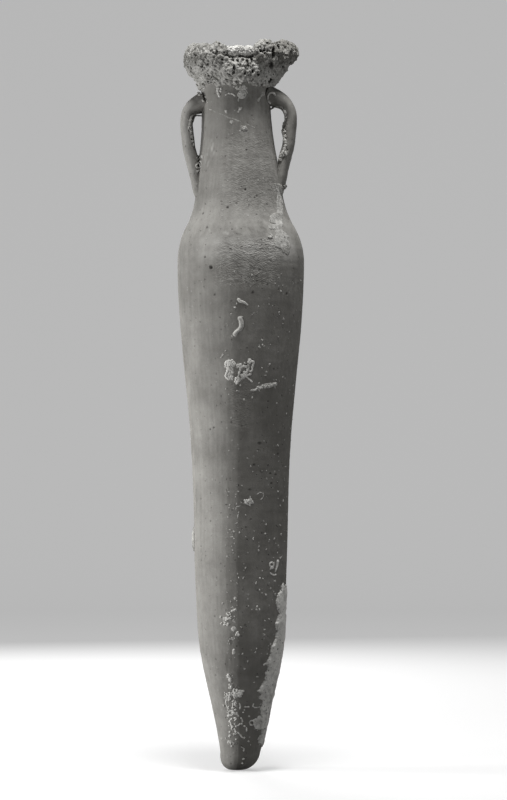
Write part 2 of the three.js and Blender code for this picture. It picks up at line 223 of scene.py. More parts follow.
WAIST = TAPER_TOP + LOWER_WALL["height"]
BELT = WAIST + UPPER_WALL["height"]
SHOULDER_TURN = BELT + SHOULDER["height"]
NECK_BASE = SHOULDER_TURN + NECK_ROOT["height"]
NECK_HALF = NECK_BASE + NECK_MIDDLE["height"]
RIM_BASE = NECK_HALF + NECK_TOP["height"]
RIM_TOP = RIM_BASE + RIM["height"]
# The worn tip stands a little to the left of the axis.
TIP_SHIFT = {"reach": 34, "by": -4.5}

STRETCHES = [
    (TIP, TOE, TIP["height"], TOE_TOP),
    (TOE, TAPER, TOE_TOP, TAPER_TOP),
    (TAPER, LOWER_WALL, TAPER_TOP, WAIST),
    (LOWER_WALL, UPPER_WALL, WAIST, BELT),
    (UPPER_WALL, SHOULDER, BELT, SHOULDER_TURN),
    (SHOULDER, NECK_ROOT, SHOULDER_TURN, NECK_BASE),
    (NECK_ROOT, NECK_MIDDLE, NECK_BASE, NECK_HALF),
    (NECK_MIDDLE, NECK_TOP, NECK_HALF, RIM_BASE),
]


def radius_at(height):
    """Outside radius of the wall at heights, in mm; above the neck it stays the neck's."""
    height = np.asarray(height, float)
    up = np.clip(height / TIP["height"], 0, 1)
    radius = TIP["flat"] + (TIP["radius"] - TIP["flat"]) * np.sqrt(1 - (1 - up) ** 2)
    for low, high, start, end in STRETCHES:
        t = np.clip((height - start) / (end - start), 0, 1)
        rise = end - start
        low_part = (1 + 2 * t) * (1 - t) ** 2 * low["radius"] + t * (1 - t) ** 2 * rise * low["lean"]
        high_part = t * t * (3 - 2 * t) * high["radius"] - t * t * (1 - t) * rise * high["lean"]
        radius = np.where(height >= start, low_part + high_part, radius)
    return radius


def lean_at(height):
    """How far the leaning neck and the worn tip stand off the axis, along X, in mm."""
    above = np.maximum(0, np.asarray(height, float) - BELT)
    eased = np.minimum(above, SHOULDER["height"])
    neck = NECK_LEAN * (above - eased + eased**2 / (2 * SHOULDER["height"]))
    down = np.clip(1 - np.asarray(height, float) / TIP_SHIFT["reach"], 0, 1)
    return neck + TIP_SHIFT["by"] * down**2


def heights_between(low, high, step):
    """Heights from low to high, about a step apart."""
    return np.linspace(low, high, max(2, int(round((high - low) / step)) + 1))


# Sizes of the mesh's faces in mm: up the outside, round it, and up the inside.
ROW = 1.15
COLUMN = 1.15
INNER_ROW = 6
# The luted joints are closed but for this, where the CAD leaves a film of slip open.
SLIP_LIFT = 0.02
# How much the wheel's and the sea's marks show on the outside, the lip's inner slope and the inside.
WORN = 1.0
HALF_WORN = 0.6
SHELTERED = 0.3


def ring_section(low, high):
    """Closed section of a thrown ring, up the outside and down inside: rows of radius, height and wear."""
    foot = low + SLIP_LIFT
    outside = [(radius_at(z), z, WORN) for z in heights_between(foot, high, ROW)]
    inside = [
        (radius_at(z) - WALL, z + SCARF_RISE, SHELTERED)
        for z in heights_between(foot, high, INNER_ROW)
    ]
    return outside + inside[::-1]


def toe_section():
    """Section of the solid toe: its flat tip, its bend and side, and the bowl on its top."""
    turns = np.linspace(0, math.pi / 2, 26)[:-1]
    flat, bend = TIP["flat"], TIP["radius"] - TIP["flat"]
    base = [(0.0, 0.0, WORN), (flat / 3, 0.0, WORN), (2 * flat / 3, 0.0, WORN)]
    tip = [(flat + bend * math.sin(a), TIP["height"] * (1 - math.cos(a)), WORN) for a in turns]
    side = [(radius_at(z), z, WORN) for z in heights_between(TIP["height"], TOE_TOP, ROW)]
    bowl_top = TOE_TOP + SCARF_RISE
    bowl = []
    for a in np.linspace(0, math.pi / 2, 10):
        height = TOE_SOLID + (bowl_top - TOE_SOLID) * (1 - math.sin(a))
        bowl.append(((TOE["radius"] - WALL) * math.cos(a), height, SHELTERED))
    return base + tip + side + bowl[:-1] + [(0.0, TOE_SOLID, SHELTERED)]


def rim_section():
    """Section of the rim: the neck's top end and the rolled band round the mouth."""
    edge, top = RIM["edge"], RIM_TOP
    under = RIM_TOP - RIM["band"]
    bends = np.linspace(0, math.pi / 2, 6)
    neck = NECK_TOP["radius"]
    inner, flat_end = neck - WALL, RIM["radius"] - edge
    points = [(neck, RIM_BASE + SLIP_LIFT, WORN), (neck, under, WORN)]
    points += [(r, under, WORN) for r in np.linspace(neck + 1, flat_end, 5)]
    points += [(flat_end + edge * math.sin(a), under + edge * (1 - math.cos(a)), WORN) for a in bends[1:]]
    points += [(RIM["radius"], z, WORN) for z in heights_between(under + edge, top - edge, ROW)[1:-1]]
    points += [(flat_end + edge * math.cos(a), top - edge + edge * math.sin(a), WORN) for a in bends]
    points += [(r, top, WORN) for r in np.linspace(flat_end - 1, RIM["mouth"] + edge / 2, 8)]
    points += [(RIM["mouth"], top - edge / 2, WORN)]
    inner_foot = RIM_BASE + SLIP_LIFT + SCARF_RISE
    points += [(RIM["mouth"] - 1.5, (top - edge / 2 + inner_foot) / 2, HALF_WORN)]
    points += [(inner, inner_foot + 1, SHELTERED), (inner, inner_foot, SHELTERED)]
    return points


def add_inputs(tree, kind, values):
    """Inputs of one kind, each with its first value or None. Gives their identifiers by name."""
    names = {}
    for name, value in values.items():
        socket = tree.interface.new_socket(name=name, in_out="INPUT", socket_type="NodeSocket" + kind)
        if value is not None:
            socket.default_value = value
        names[name] = socket.identifier
    return names


def add_output(tree, name, kind):
    tree.interface.new_socket(name=name, in_out="OUTPUT", socket_type="NodeSocket" + kind)


def field(tree, kind, name):
    """A named attribute read on the geometry."""
    settings = {"data_type": kind}
    node = add_node(tree, "GeometryNodeInputNamedAttribute", settings, {"Name": name})
    return node.outputs["Attribute"]


def sampled(tree, geometry, kind, value, index):
    """A value read on another geometry's point."""
    settings = {"data_type": kind, "domain": "POINT"}
    inputs = {"Geometry": geometry, "Value": value, "Index": index}
    return add_node(tree, "GeometryNodeSampleIndex", settings, inputs).outputs[0]


def points_in(tree, mesh):
    """How many points a mesh has."""
    size = add_node(tree, "GeometryNodeAttributeDomainSize", {"component": "MESH"}, {"Geometry": mesh})
    return size.outputs["Point Count"]


def turn_at(tree, index, rows, columns):
    """The turn in radians of a point of a grid whose columns go once round."""
    column = combine(tree, "FLOOR", combine(tree, "DIVIDE", combine(tree, "ADD", index, 0.5), rows))
    return combine(tree, "MULTIPLY", combine(tree, "DIVIDE", column, columns), 2 * math.pi)


def closed_sheet(tree, sheet, spot):
    """A grid moved to its places, with the points that meet there joined."""
    inputs = {"Geometry": sheet.outputs["Mesh"], "Position": spot}
    moved = add_node(tree, "GeometryNodeSetPosition", None, inputs)
    inputs = {"Geometry": moved.outputs[0], "Distance": 1e-6}
    return add_node(tree, "GeometryNodeMergeByDistance", None, inputs).outputs[0]


def give_dressed(tree, mesh, material):
    """Ends a Geometry Nodes tree: smooth, one mesh, and in its material."""
    smooth = add_node(tree, "GeometryNodeSetShadeSmooth", None, {"Geometry": mesh})
    whole = add_node(tree, "GeometryNodeRealizeInstances", None, {"Geometry": smooth.outputs[0]})
    inputs = {"Geometry": whole.outputs[0], "Material": material}
    dressed = add_node(tree, "GeometryNodeSetMaterial", None, inputs)
    add_node(tree, "NodeGroupOutput", None, {0: dressed.outputs[0]})


# Radius in metres of the circle that noise round the wall is read on, so that it repeats.
NOISE_CIRCLE = 0.05
# Slant of the throwing rings over the jar's width, size of the wall's unevenness, and the radius in
# which the marks fade at the tip, in metres.
RING_SLANT = 0.0008
UNEVEN_SIZE = (0.04, 0.06)
PLAIN_TIP = 0.012


def throwing_tree():
    """Turns a closed section round the axis, and marks its outside as the wheel, a hand and the sea do."""
    tree = bpy.data.node_groups.new("thrown_ring", "GeometryNodeTree")
    sizes = {
        "Ring Pitch": 0.009,
        "Ring Depth": 0.00016,
        "Streak Width": 0.005,
        "Streak Length": 0.08,
        "Streak Depth": 0.00015,
        "Unevenness": 0.0005,
        "Grit Size": 0.0035,
        "Grit Depth": 0.00016,
        "Tip Shift": TIP_SHIFT["by"] * MM,
        "Tip Reach": TIP_SHIFT["reach"] * MM,
        "Neck Lean": NECK_LEAN,
        "Lean Start": BELT * MM,
        "Lean Ease": SHOULDER["height"] * MM,
    }
    names = add_inputs(tree, "Geometry", {"Section": None})
    names |= add_inputs(tree, "Int", {"Columns": 360})
    names |= add_inputs(tree, "Float", sizes)
    names |= add_inputs(tree, "Material", {"Clay": None})
    add_output(tree, "Ring", "Geometry")
    given = add_node(tree, "NodeGroupInput").outputs
    section = given["Section"]
    count = points_in(tree, section)
    rows = combine(tree, "ADD", count, 1)
    columns = combine(tree, "ADD", given["Columns"], 1)
    sheet = add_node(tree, "GeometryNodeMeshGrid", None, {"Vertices X": columns, "Vertices Y": rows})
    index = add_node(tree, "GeometryNodeInputIndex").outputs[0]
    row = combine(tree, "MODULO", combine(tree, "MODULO", index, rows), count)
    turn = turn_at(tree, index, rows, given["Columns"])
    place = add_node(tree, "GeometryNodeInputPosition").outputs[0]
    place = sampled(tree, section, "FLOAT_VECTOR", place, row)
    worn = sampled(tree, section, "FLOAT", field(tree, "FLOAT", "worn"), row)
    split = add_node(tree, "ShaderNodeSeparateXYZ", None, {0: place}).outputs
    radius, height = split["X"], split["Z"]
    sine, cosine = combine(tree, "SINE", turn), combine(tree, "COSINE", turn)
    around = [combine(tree, "MULTIPLY", sine, NOISE_CIRCLE), combine(tree, "MULTIPLY", cosine, -NOISE_CIRCLE)]

    def noise(wide, high, detail, seed):
        """Noise that repeats round the jar, from -1 to 1, with its own size round and up the wall."""
        spot = {0: combine(tree, "DIVIDE", around[0], wide), 1: combine(tree, "DIVIDE", around[1], wide)}
        spot[2] = combine(tree, "DIVIDE", height, high)
        vector = add_node(tree, "ShaderNodeCombineXYZ", None, spot)
        settings = {"noise_dimensions": "4D"}
        inputs = {"Vector": vector.outputs[0], "W": seed, "Scale": 1.0, "Detail": detail, "Roughness": 0.55}
        raw = add_node(tree, "ShaderNodeTexNoise", settings, inputs).outputs[0]
        return combine(tree, "MULTIPLY_ADD", raw, 2.0, -1.0)

    slant = combine(tree, "MULTIPLY_ADD", sine, RING_SLANT, height)
    ring_inputs = {"W": combine(tree, "DIVIDE", slant, given["Ring Pitch"]), "Scale": 1.0, "Detail": 1.5}
    rings = add_node(tree, "ShaderNodeTexNoise", {"noise_dimensions": "1D"}, ring_inputs).outputs[0]
    marks = combine(tree, "MULTIPLY", combine(tree, "MULTIPLY_ADD", rings, 2.0, -1.0), given["Ring Depth"])
    streaks = noise(given["Streak Width"], given["Streak Length"], detail=2.0, seed=3.1)
    marks = combine(tree, "MULTIPLY_ADD", streaks, given["Streak Depth"], marks)
    uneven = noise(*UNEVEN_SIZE, detail=1.0, seed=7.7)
    marks = combine(tree, "MULTIPLY_ADD", uneven, given["Unevenness"], marks)
    grit = noise(given["Grit Size"], given["Grit Size"], detail=2.0, seed=11.3)
    marks = combine(tree, "MULTIPLY_ADD", grit, given["Grit Depth"], marks)
    marks = combine(tree, "MULTIPLY", marks, worn)
    marks = combine(tree, "MULTIPLY", marks, ramp(tree, radius, 0.0, PLAIN_TIP))
    radius = combine(tree, "ADD", radius, marks)
    above = combine(tree, "MAXIMUM", combine(tree, "SUBTRACT", height, given["Lean Start"]), 0.0)
    eased = combine(tree, "MINIMUM", above, given["Lean Ease"])
    bend = combine(tree, "MULTIPLY", eased, eased)
    bend = combine(tree, "DIVIDE", bend, combine(tree, "MULTIPLY", given["Lean Ease"], 2.0))
    lean = combine(tree, "ADD", combine(tree, "SUBTRACT", above, eased), bend)
    lean = combine(tree, "MULTIPLY", lean, given["Neck Lean"])
    down = combine(tree, "SUBTRACT", 1.0, combine(tree, "DIVIDE", height, given["Tip Reach"]))
    down = combine(tree, "MAXIMUM", down, 0.0)
    shift = combine(tree, "MULTIPLY_ADD", combine(tree, "MULTIPLY", down, down), given["Tip Shift"], lean)
    x = combine(tree, "MULTIPLY_ADD", radius, sine, shift)
    y = combine(tree, "MULTIPLY", combine(tree, "MULTIPLY", radius, cosine), -1.0)
    spot = add_node(tree, "ShaderNodeCombineXYZ", None, {0: x, 1: y, 2: height}).outputs[0]
    closed = closed_sheet(tree, sheet, spot)
    flipped = add_node(tree, "GeometryNodeFlipFaces", None, {"Mesh": closed})
    give_dressed(tree, flipped.outputs[0], given["Clay"])
    return tree, names


def grown(name, seed_mesh, tree, names, values):
    """A plain mesh object that a Geometry Nodes tree makes from a starting mesh."""
    piece = bpy.data.objects.new(name, seed_mesh)
    bpy.context.scene.collection.objects.link(piece)
    modifier = piece.modifiers.new("grow", "NODES")
    modifier.node_group = tree
    for key, value in values.items():
        modifier[names[key]] = value
    graph = bpy.context.evaluated_depsgraph_get()
    mesh = bpy.data.meshes.new_from_object(piece.evaluated_get(graph))
    piece.modifiers.clear()
    piece.data = mesh
    mesh.name = name
    return piece


def points_of(mesh):
    """A mesh's points in mm."""
    points = np.zeros(len(mesh.vertices) * 3, np.float32)
    mesh.vertices.foreach_get("co", points)
    return points.reshape(-1, 3).astype(float) / MM


def normals_of(mesh):
    normals = np.zeros(len(mesh.vertices) * 3, np.float32)
    mesh.vertex_normals.foreach_get("vector", normals)
    return normals.reshape(-1, 3).astype(float)


def put_points(mesh, points):
    """Moves a mesh's points to places in mm."""
    mesh.vertices.foreach_set("co", (points * MM).astype(np.float32).ravel())
    mesh.update()


def note(mesh, name, values):
    """Writes a value for each point of a mesh, for a tree or a material to read."""
    attribute = mesh.attributes.new(name, "FLOAT", "POINT")
    attribute.data.foreach_set("value", np.asarray(values, np.float32))


def section_mesh(section):
    mesh = bpy.data.meshes.new("section")
    mesh.vertices.add(len(section))
    points = np.array([(r, 0, z) for r, z, _ in section], np.float32) * MM
    mesh.vertices.foreach_set("co", points.ravel())
    note(mesh, "worn", [worn for _, _, worn in section])
    return mesh


def sea_wear_group():
    """What sun, salt and boring worms do to clay and growth alike: mottling, grit, pinholes, pale specks."""
    tree = bpy.data.node_groups.new("sea_wear", "ShaderNodeTree")
    add_inputs(tree, "Vector", {"Place": None})
    add_inputs(tree, "Float", {"Mottle Size": 0.03, "Grit Size": 0.0012, "Pinhole Size": 0.0012})
    add_inputs(tree, "Float", {"Pinhole Share": 0.4, "Speck Share": 0.35})
    for name in ("Mottle", "Grit", "Pinhole", "Speck"):
        add_output(tree, name, "Float")
    given = add_node(tree, "NodeGroupInput").outputs
    place = given["Place"]

    def noise(size, detail):
        return noise_texture(tree, place, combine(tree, "DIVIDE", 1.0, size), detail, 0.6)

    def dots(size, share, shift):
        """Round dots in a share of the cells. The shift keeps one set of dots apart from another."""
        inputs = {0: place, 1: (shift, shift, shift)}
        moved = add_node(tree, "ShaderNodeVectorMath", {"operation": "ADD"}, inputs).outputs[0]
        scale = combine(tree, "DIVIDE", 0.2, size)
        cells = add_node(tree, "ShaderNodeTexVoronoi", None, {"Vector": moved, "Scale": scale}).outputs
        lot = add_node(tree, "ShaderNodeSeparateColor", None, {0: cells["Color"]}).outputs
        radius = combine(tree, "MULTIPLY_ADD", lot[1], 0.14, 0.07)
        near = combine(tree, "DIVIDE", cells["Distance"], radius)
        chosen = combine(tree, "LESS_THAN", lot[0], share)
        return combine(tree, "MULTIPLY", ramp(tree, near, 1.25, 0.75), chosen)

    mottle = noise(given["Mottle Size"], 5.0)
    grit = noise(given["Grit Size"], 3.0)
    pinhole = dots(given["Pinhole Size"], given["Pinhole Share"], 0.0)
    speck = dots(given["Pinhole Size"], given["Speck Share"], 0.37)
    add_node(tree, "NodeGroupOutput", None, {0: mottle, 1: grit, 2: pinhole, 3: speck})
    return tree


sea_wear = sea_wear_group()


def worn_by_sea(tree, place, sizes=None):
    """The outputs of the sea's wear at a place."""
    inputs = {"Place": place, **(sizes or {})}
    return add_node(tree, "ShaderNodeGroup", {"node_tree": sea_wear}, inputs).outputs


def noted(tree, name):
    """A value noted on the mesh's points."""
    return add_node(tree, "ShaderNodeAttribute", {"attribute_name": name}).outputs["Fac"]


def tinted(tree, tone, dark, light):
    """A colour between two colours."""
    inputs = {0: tone, 6: (*dark, 1), 7: (*light, 1)}
    return add_node(tree, "ShaderNodeMix", {"data_type": "RGBA"}, inputs).outputs[2]


def over(tree, below, share, colour):
    """A colour laid over another by a mask."""
    inputs = {0: share, 6: below, 7: (*colour, 1)}
    return add_node(tree, "ShaderNodeMix", {"data_type": "RGBA"}, inputs).outputs[2]


def give_surface(tree, colour, rough, relief, strength, shine):
    """Ends a material: its colour and roughness, and its relief as bumps up to BUMP_DEPTH metres high."""
    bump = add_node(
        tree, "ShaderNodeBump", None, {"Height": relief, "Strength": strength, "Distance": BUMP_DEPTH}
    )
    inputs = {
        "Base Color": colour, "Roughness": rough, "Normal": bump.outputs[0], "Specular IOR Level": shine
    }
    shader = add_node(tree, "ShaderNodeBsdfPrincipled", None, inputs)
    add_node(tree, "ShaderNodeOutputMaterial", None, {"Surface": shader.outputs[0]})


BUMP_DEPTH = 0.0006
CLAY_DARK = (0.235, 0.228, 0.212)
CLAY_LIGHT = (0.43, 0.42, 0.395)
# Painted shade and painted shadows on the clay, together with its stains.
SHADE_AND_STAIN_COLOUR = (0.155, 0.15, 0.137)
# Near-black of pits, pinholes and gouges: painted shade in them.
PINHOLE_COLOUR = (0.045, 0.043, 0.038)
SPECK_COLOUR = (0.56, 0.555, 0.53)
# Pale rubbed places, and painted light on the bare lip.
BLEACH_AND_PAINTED_LIGHT_COLOUR = (0.62, 0.61, 0.585)
# What each mark of wear adds to the clay's tone, and how far painted shade with stains, pale places with
# painted light, and painted shade in hollows cover it.
CLAY_TONE = {"base": -0.40, "mottle": 1.5, "streak": 0.6, "grit": 0.5, "blotch": 3.0, "blotch_base": -1.55}
CLAY_TONE["strokes"] = 4.2
CLAY_COVER = {"shade_and_stain": 0.75, "pale": 0.8, "hollow": 0.85}
# What each adds to the clay's relief.
CLAY_RELIEF = {"grit": 0.35, "pinhole": -0.8, "speck": 0.5, "blotch": 0.5, "strokes": 2.2}
# Two sets of scuff strokes: slope in degrees, and length and breadth in metres.
SCUFF_STROKES = ((28, 0.0055, 0.0009), (-16, 0.008, 0.0011))
# Streaks down the wall: how often they change across and along it, to a metre.
STREAK_SCALE = (260, 260, 9)


def clay_material():
    """Bare fired clay that the sea has left unevenly pale, with a thin patchy film of slime and salt. Its
    right side carries painted shade and painted shadows besides its stains, its holes are painted near-black
    as painted shade, and its bare lip is partly painted light.
    """
    material, tree = bare_material("fired_clay")
    place = add_node(tree, "ShaderNodeTexCoord").outputs["Object"]
    wear = worn_by_sea(tree, place)
    squeezed = add_node(tree, "ShaderNodeMapping", None, {"Vector": place, "Scale": STREAK_SCALE}).outputs[0]
    streak = noise_texture(tree, squeezed, 1.0, 3.0)
    film, hollow, shade_and_stain = noted(tree, "film"), noted(tree, "hollow"), noted(tree, "shade_and_stain")
    scuff, pale = noted(tree, "scuff"), noted(tree, "pale")
    strokes = []
    for slope, long, thin in SCUFF_STROKES:
        laid = {"Vector": place, "Rotation": (0, math.radians(slope), 0), "Scale": (long, long, thin)}
        along = add_node(tree, "ShaderNodeMapping", {"vector_type": "TEXTURE"}, laid).outputs[0]
        strokes.append(combine(tree, "SUBTRACT", noise_texture(tree, along, 1.0, 1.5), 0.5))
    strokes = combine(tree, "MULTIPLY", combine(tree, "ADD", *strokes), scuff)
    blotch = noise_texture(tree, place, 150.0, 4.0, 0.7)
    tone = combine(tree, "MULTIPLY_ADD", wear["Mottle"], CLAY_TONE["mottle"], CLAY_TONE["base"])
    tone = combine(tree, "MULTIPLY_ADD", combine(tree, "SUBTRACT", streak, 0.5), CLAY_TONE["streak"], tone)
    tone = combine(
        tree, "MULTIPLY_ADD", combine(tree, "SUBTRACT", wear["Grit"], 0.5), CLAY_TONE["grit"], tone
    )
    filmy = combine(tree, "MULTIPLY_ADD", blotch, CLAY_TONE["blotch"], CLAY_TONE["blotch_base"])
    tone = combine(tree, "ADD", tone, combine(tree, "MULTIPLY", filmy, film))
    tone = combine(tree, "MULTIPLY_ADD", strokes, CLAY_TONE["strokes"], tone)
    clean = add_node(tree, "ShaderNodeClamp", None, {0: tone}).outputs[0]
    colour = tinted(tree, clean, CLAY_DARK, CLAY_LIGHT)
    # Painted shade, painted shadows and stains darken the clay; pale places and the bare lip's painted light
    # then lighten it.
    colour = over(tree, colour, combine(tree, "MULTIPLY", shade_and_stain, CLAY_COVER["shade_and_stain"]), SHADE_AND_STAIN_COLOUR)
    colour = over(tree, colour, combine(tree, "MULTIPLY", pale, CLAY_COVER["pale"]), BLEACH_AND_PAINTED_LIGHT_COLOUR)
    speckled = combine(tree, "MULTIPLY", wear["Speck"], combine(tree, "MULTIPLY_ADD", film, 0.55, 0.2))
    colour = over(tree, colour, speckled, SPECK_COLOUR)
    # Pinholes and hollows painted near-black: painted shade in them.
    holes = combine(tree, "MULTIPLY", wear["Pinhole"], combine(tree, "MULTIPLY_ADD", film, 0.6, 0.25))
    holes = combine(tree, "MAXIMUM", holes, combine(tree, "MULTIPLY", hollow, CLAY_COVER["hollow"]))
    colour = over(tree, colour, holes, PINHOLE_COLOUR)
    relief = combine(tree, "MULTIPLY", wear["Pinhole"], CLAY_RELIEF["pinhole"])
    relief = combine(tree, "MULTIPLY_ADD", wear["Grit"], CLAY_RELIEF["grit"], relief)
    relief = combine(tree, "MULTIPLY_ADD", wear["Speck"], CLAY_RELIEF["speck"], relief)
    filmy = combine(tree, "MULTIPLY", film, CLAY_RELIEF["blotch"])
    relief = combine(tree, "MULTIPLY_ADD", blotch, filmy, relief)
    relief = combine(tree, "MULTIPLY_ADD", strokes, CLAY_RELIEF["strokes"], relief)
    rough = combine(tree, "MULTIPLY_ADD", wear["Mottle"], 0.12, 0.82)
    give_surface(tree, colour, rough, relief, strength=0.9, shine=0.22)
    return material


clay = clay_material()


def hashed(cells, seed):
    """A value from 0 to 1 for each whole-number cell."""
    x, y, z = (cells[..., i].astype(np.uint64) for i in range(3))
    mixed = x * np.uint64(73856093) ^ y * np.uint64(19349663) ^ z * np.uint64(83492791)
    mixed = mixed ^ np.uint64(seed * 2654435761)
    mixed = (mixed ^ (mixed >> np.uint64(13))) * np.uint64(1274126177)
    mixed = mixed ^ (mixed >> np.uint64(16))
    return (mixed & np.uint64(0xFFFFFF)).astype(float) / 0xFFFFFF


def rolling(points, size, seed):
    """Smooth random values from -1 to 1 that change over a size, at points in mm."""
    spots = np.asarray(points) / size + 1000.5 + seed * 7.3
    cells = np.floor(spots).astype(np.int64)
    t = spots - cells
    t = t * t * t * (t * (t * 6 - 15) + 10)
    total = 0.0
    for i in range(8):
        step = np.array([(i >> k) & 1 for k in range(3)])
        weight = np.prod(np.where(step, t, 1 - t), axis=-1)
        total = total + weight * hashed(cells + step, seed)
    return total * 2 - 1


def pocked(points, size, radius, share, seed):
    """Round hollows in a share of the cells of a size: how deep each point in mm lies in one, 0 to 1."""
    spots = np.asarray(points) / size + 1000.0
    cells = np.floor(spots).astype(np.int64)
    deep = np.zeros(len(spots))
    for i in range(27):
        cell = cells + np.array([i // 9 - 1, i // 3 % 3 - 1, i % 3 - 1])
        centre = cell + np.stack([hashed(cell, seed + k) for k in (1, 2, 3)], axis=-1)
        gap = np.linalg.norm(spots - centre, axis=-1) * size
        wide = radius * (0.6 + 0.8 * hashed(cell, seed + 4))
        inside = np.clip(1 - (gap / wide) ** 2, 0, 1)
        deep = np.maximum(deep, np.where(hashed(cell, seed + 5) < share, inside, 0))
    return deep


def eased(value, low, high):
    """0 up to low, 1 from high on, and a smooth rise between them."""
    t = np.clip((np.asarray(value, float) - low) / (high - low), 0, 1)
    return t * t * (3 - 2 * t)


# Pits seen on the front: azimuth, height, radius and depth.
PITS = [
    (8.6, 681, 1.5, 1.1), (-14.5, 660, 1.5, 1.1), (-36, 637, 1.5, 1.0), (-27, 590, 2.4, 1.6),
    (-33.5, 602, 1.3, 1.0), (13.5, 728, 1.2, 0.9), (-36, 402, 1.3, 1.0), (-31, 404, 1.2, 0.9),
    (47, 560, 1.6, 1.0), (-48, 654, 1.3, 0.9), (20, 672, 1.1, 0.6), (12, 663, 1.1, 0.6), (37, 565, 1.2, 0.8),
]


def azimuth_and_height(points):
    """Azimuth in degrees and height in mm of points in mm, measured from the leaning axis."""
    x = points[:, 0] - lean_at(points[:, 2])
    return np.degrees(np.arctan2(x, -points[:, 1])), points[:, 2]


def patch_mask(azimuth, height, middle, low, high, half, soft):
    """1 inside a patch of wall, eased to 0 over its soft edge in mm; half is its half width in degrees."""
    side = np.abs((azimuth - middle + 180) % 360 - 180)
    width = radius_at(height) * math.pi / 180
    across = eased((half - side) * width, -soft, soft)
    return across * eased(height - low, -soft, soft) * eased(high - height, -soft, soft)


def pixels_of(points):
    """Where the photograph shows points in mm."""
    nearer = CAMERA_DISTANCE / (CAMERA_DISTANCE + points[:, 1] * MM)
    px = AXIS_PIXEL + (points[:, 0] * MM - middle_x) * nearer / PIXEL + middle_x / PIXEL
    row = GROUND_PIXEL - (points[:, 2] * MM - middle_z) * nearer / PIXEL - middle_z / PIXEL
    return px, row


def marked(points, marks):
    """How much each point on the front lies in oval marks (px, row, half widths), from 0 to 1."""
    px, row = pixels_of(points)
    share = np.zeros(len(points))
    for mark_px, mark_row, half_x, half_y in marks:
        gap = ((px - mark_px) / half_x) ** 2 + ((row - mark_row) / half_y) ** 2
        share = np.maximum(share, np.clip(1 - gap, 0, 1))
    return np.where(points[:, 1] < 8, share, 0)


# Dark spots and pale smears seen on the clay's front: pixel of the photograph, and half widths in pixels. The
# dark spots are stains and painted shadows: the left handle's shadow on the neck, the long tube's beside it,
# and painted shade on the heel.
SHADE_AND_STAIN_SPOTS = [
    (246.4, 328, 3.4, 6.5), (249, 393.6, 5.5, 3.0), (256.4, 395, 4, 2.6), (236, 377, 3, 5),
    (243.5, 367, 3, 3), (262.4, 443, 3.4, 2.2), (253.9, 464.7, 2, 1.6), (272, 474, 5, 2),
    (246.4, 487, 3, 2.4), (243, 655, 7, 12), (231, 640, 2.4, 9), (227, 662, 2, 12), (203, 112, 3, 14),
]
PALE_CLAY = [
    (212, 148, 4.0, 10), (226, 233, 6, 4), (243, 246, 7, 3), (251, 254, 8, 3), (262, 241, 7, 3),
    (207, 160, 3, 8),
]
# Pits seen on the front, in the same way. They are only painted near-black, as painted shade in pits.
PIT_MARKS = [
    (259.4, 443, 2.6, 1.6), (253.9, 464.7, 1.6, 1.3), (261.5, 471.2, 1.7, 1.2), (270.2, 473.4, 1.8, 1.2),
    (275.6, 474.4, 1.5, 1.2), (277.8, 453.8, 1.4, 1.2), (237.7, 485.3, 1.6, 1.4), (249.6, 489.6, 1.8, 1.2),
    (271.3, 483.1, 1.5, 1.2), (239.5, 54.3, 1.8, 1.4), (252.6, 292.6, 1.8, 1.3), (253, 292, 1.3, 1.8),
    (226.4, 504.6, 1.3, 1.0), (245, 624.8, 1.2, 1.0), (214.8, 294.6, 1.2, 1.2), (257, 276, 1.5, 1.2),
]


# The middle of the belt's front in pixels, and how far its scratches spread from there.
BELT_MIDDLE = (250, 258)
BELT_SPREAD = (15, 9.5)


def scratched(points, count, seed):
    """Short slanting strokes on the belt's front, as rock leaves: how deep each point lies in one."""
    px, row = pixels_of(points)
    strokes = np.random.default_rng(seed)
    share = np.zeros(len(points))
    for _ in range(count):
        middle_px = BELT_MIDDLE[0] + strokes.normal(0, BELT_SPREAD[0])
        middle_row = BELT_MIDDLE[1] + strokes.normal(0, BELT_SPREAD[1])
        slope = math.radians(strokes.normal(26, 17))
        half, thin = strokes.uniform(1.2, 4.2), strokes.uniform(0.65, 0.95)
        along = (px - middle_px) * math.cos(slope) + (row - middle_row) * math.sin(slope)
        across = (row - middle_row) * math.cos(slope) - (px - middle_px) * math.sin(slope)
        gap = np.hypot(np.maximum(0, np.abs(along) - half), across) / thin
        share = np.maximum(share, strokes.uniform(0.5, 1) * np.clip(1.2 - gap, 0, 1))
    return np.where(points[:, 1] < -15, share, 0)


# Patches of the wall: azimuth of the middle, lowest and highest point, half width in degrees, and
# soft edge in mm.
BELT_SCUFF = (7, 571, 622, 29, 9)
SHOULDER_SCUFF = (22, 655, 748, 42, 14)
WAIST_SCUFF = (0, 400, 470, 9, 9)
BLEACHED_BELT = (10, 600, 625, 50, 9)
# The bare lip is painted pale: partly its own paler face, partly painted light on its front.
BARE_LIP = (5, RIM_BASE + 2, RIM_TOP + 3, 24, 3)


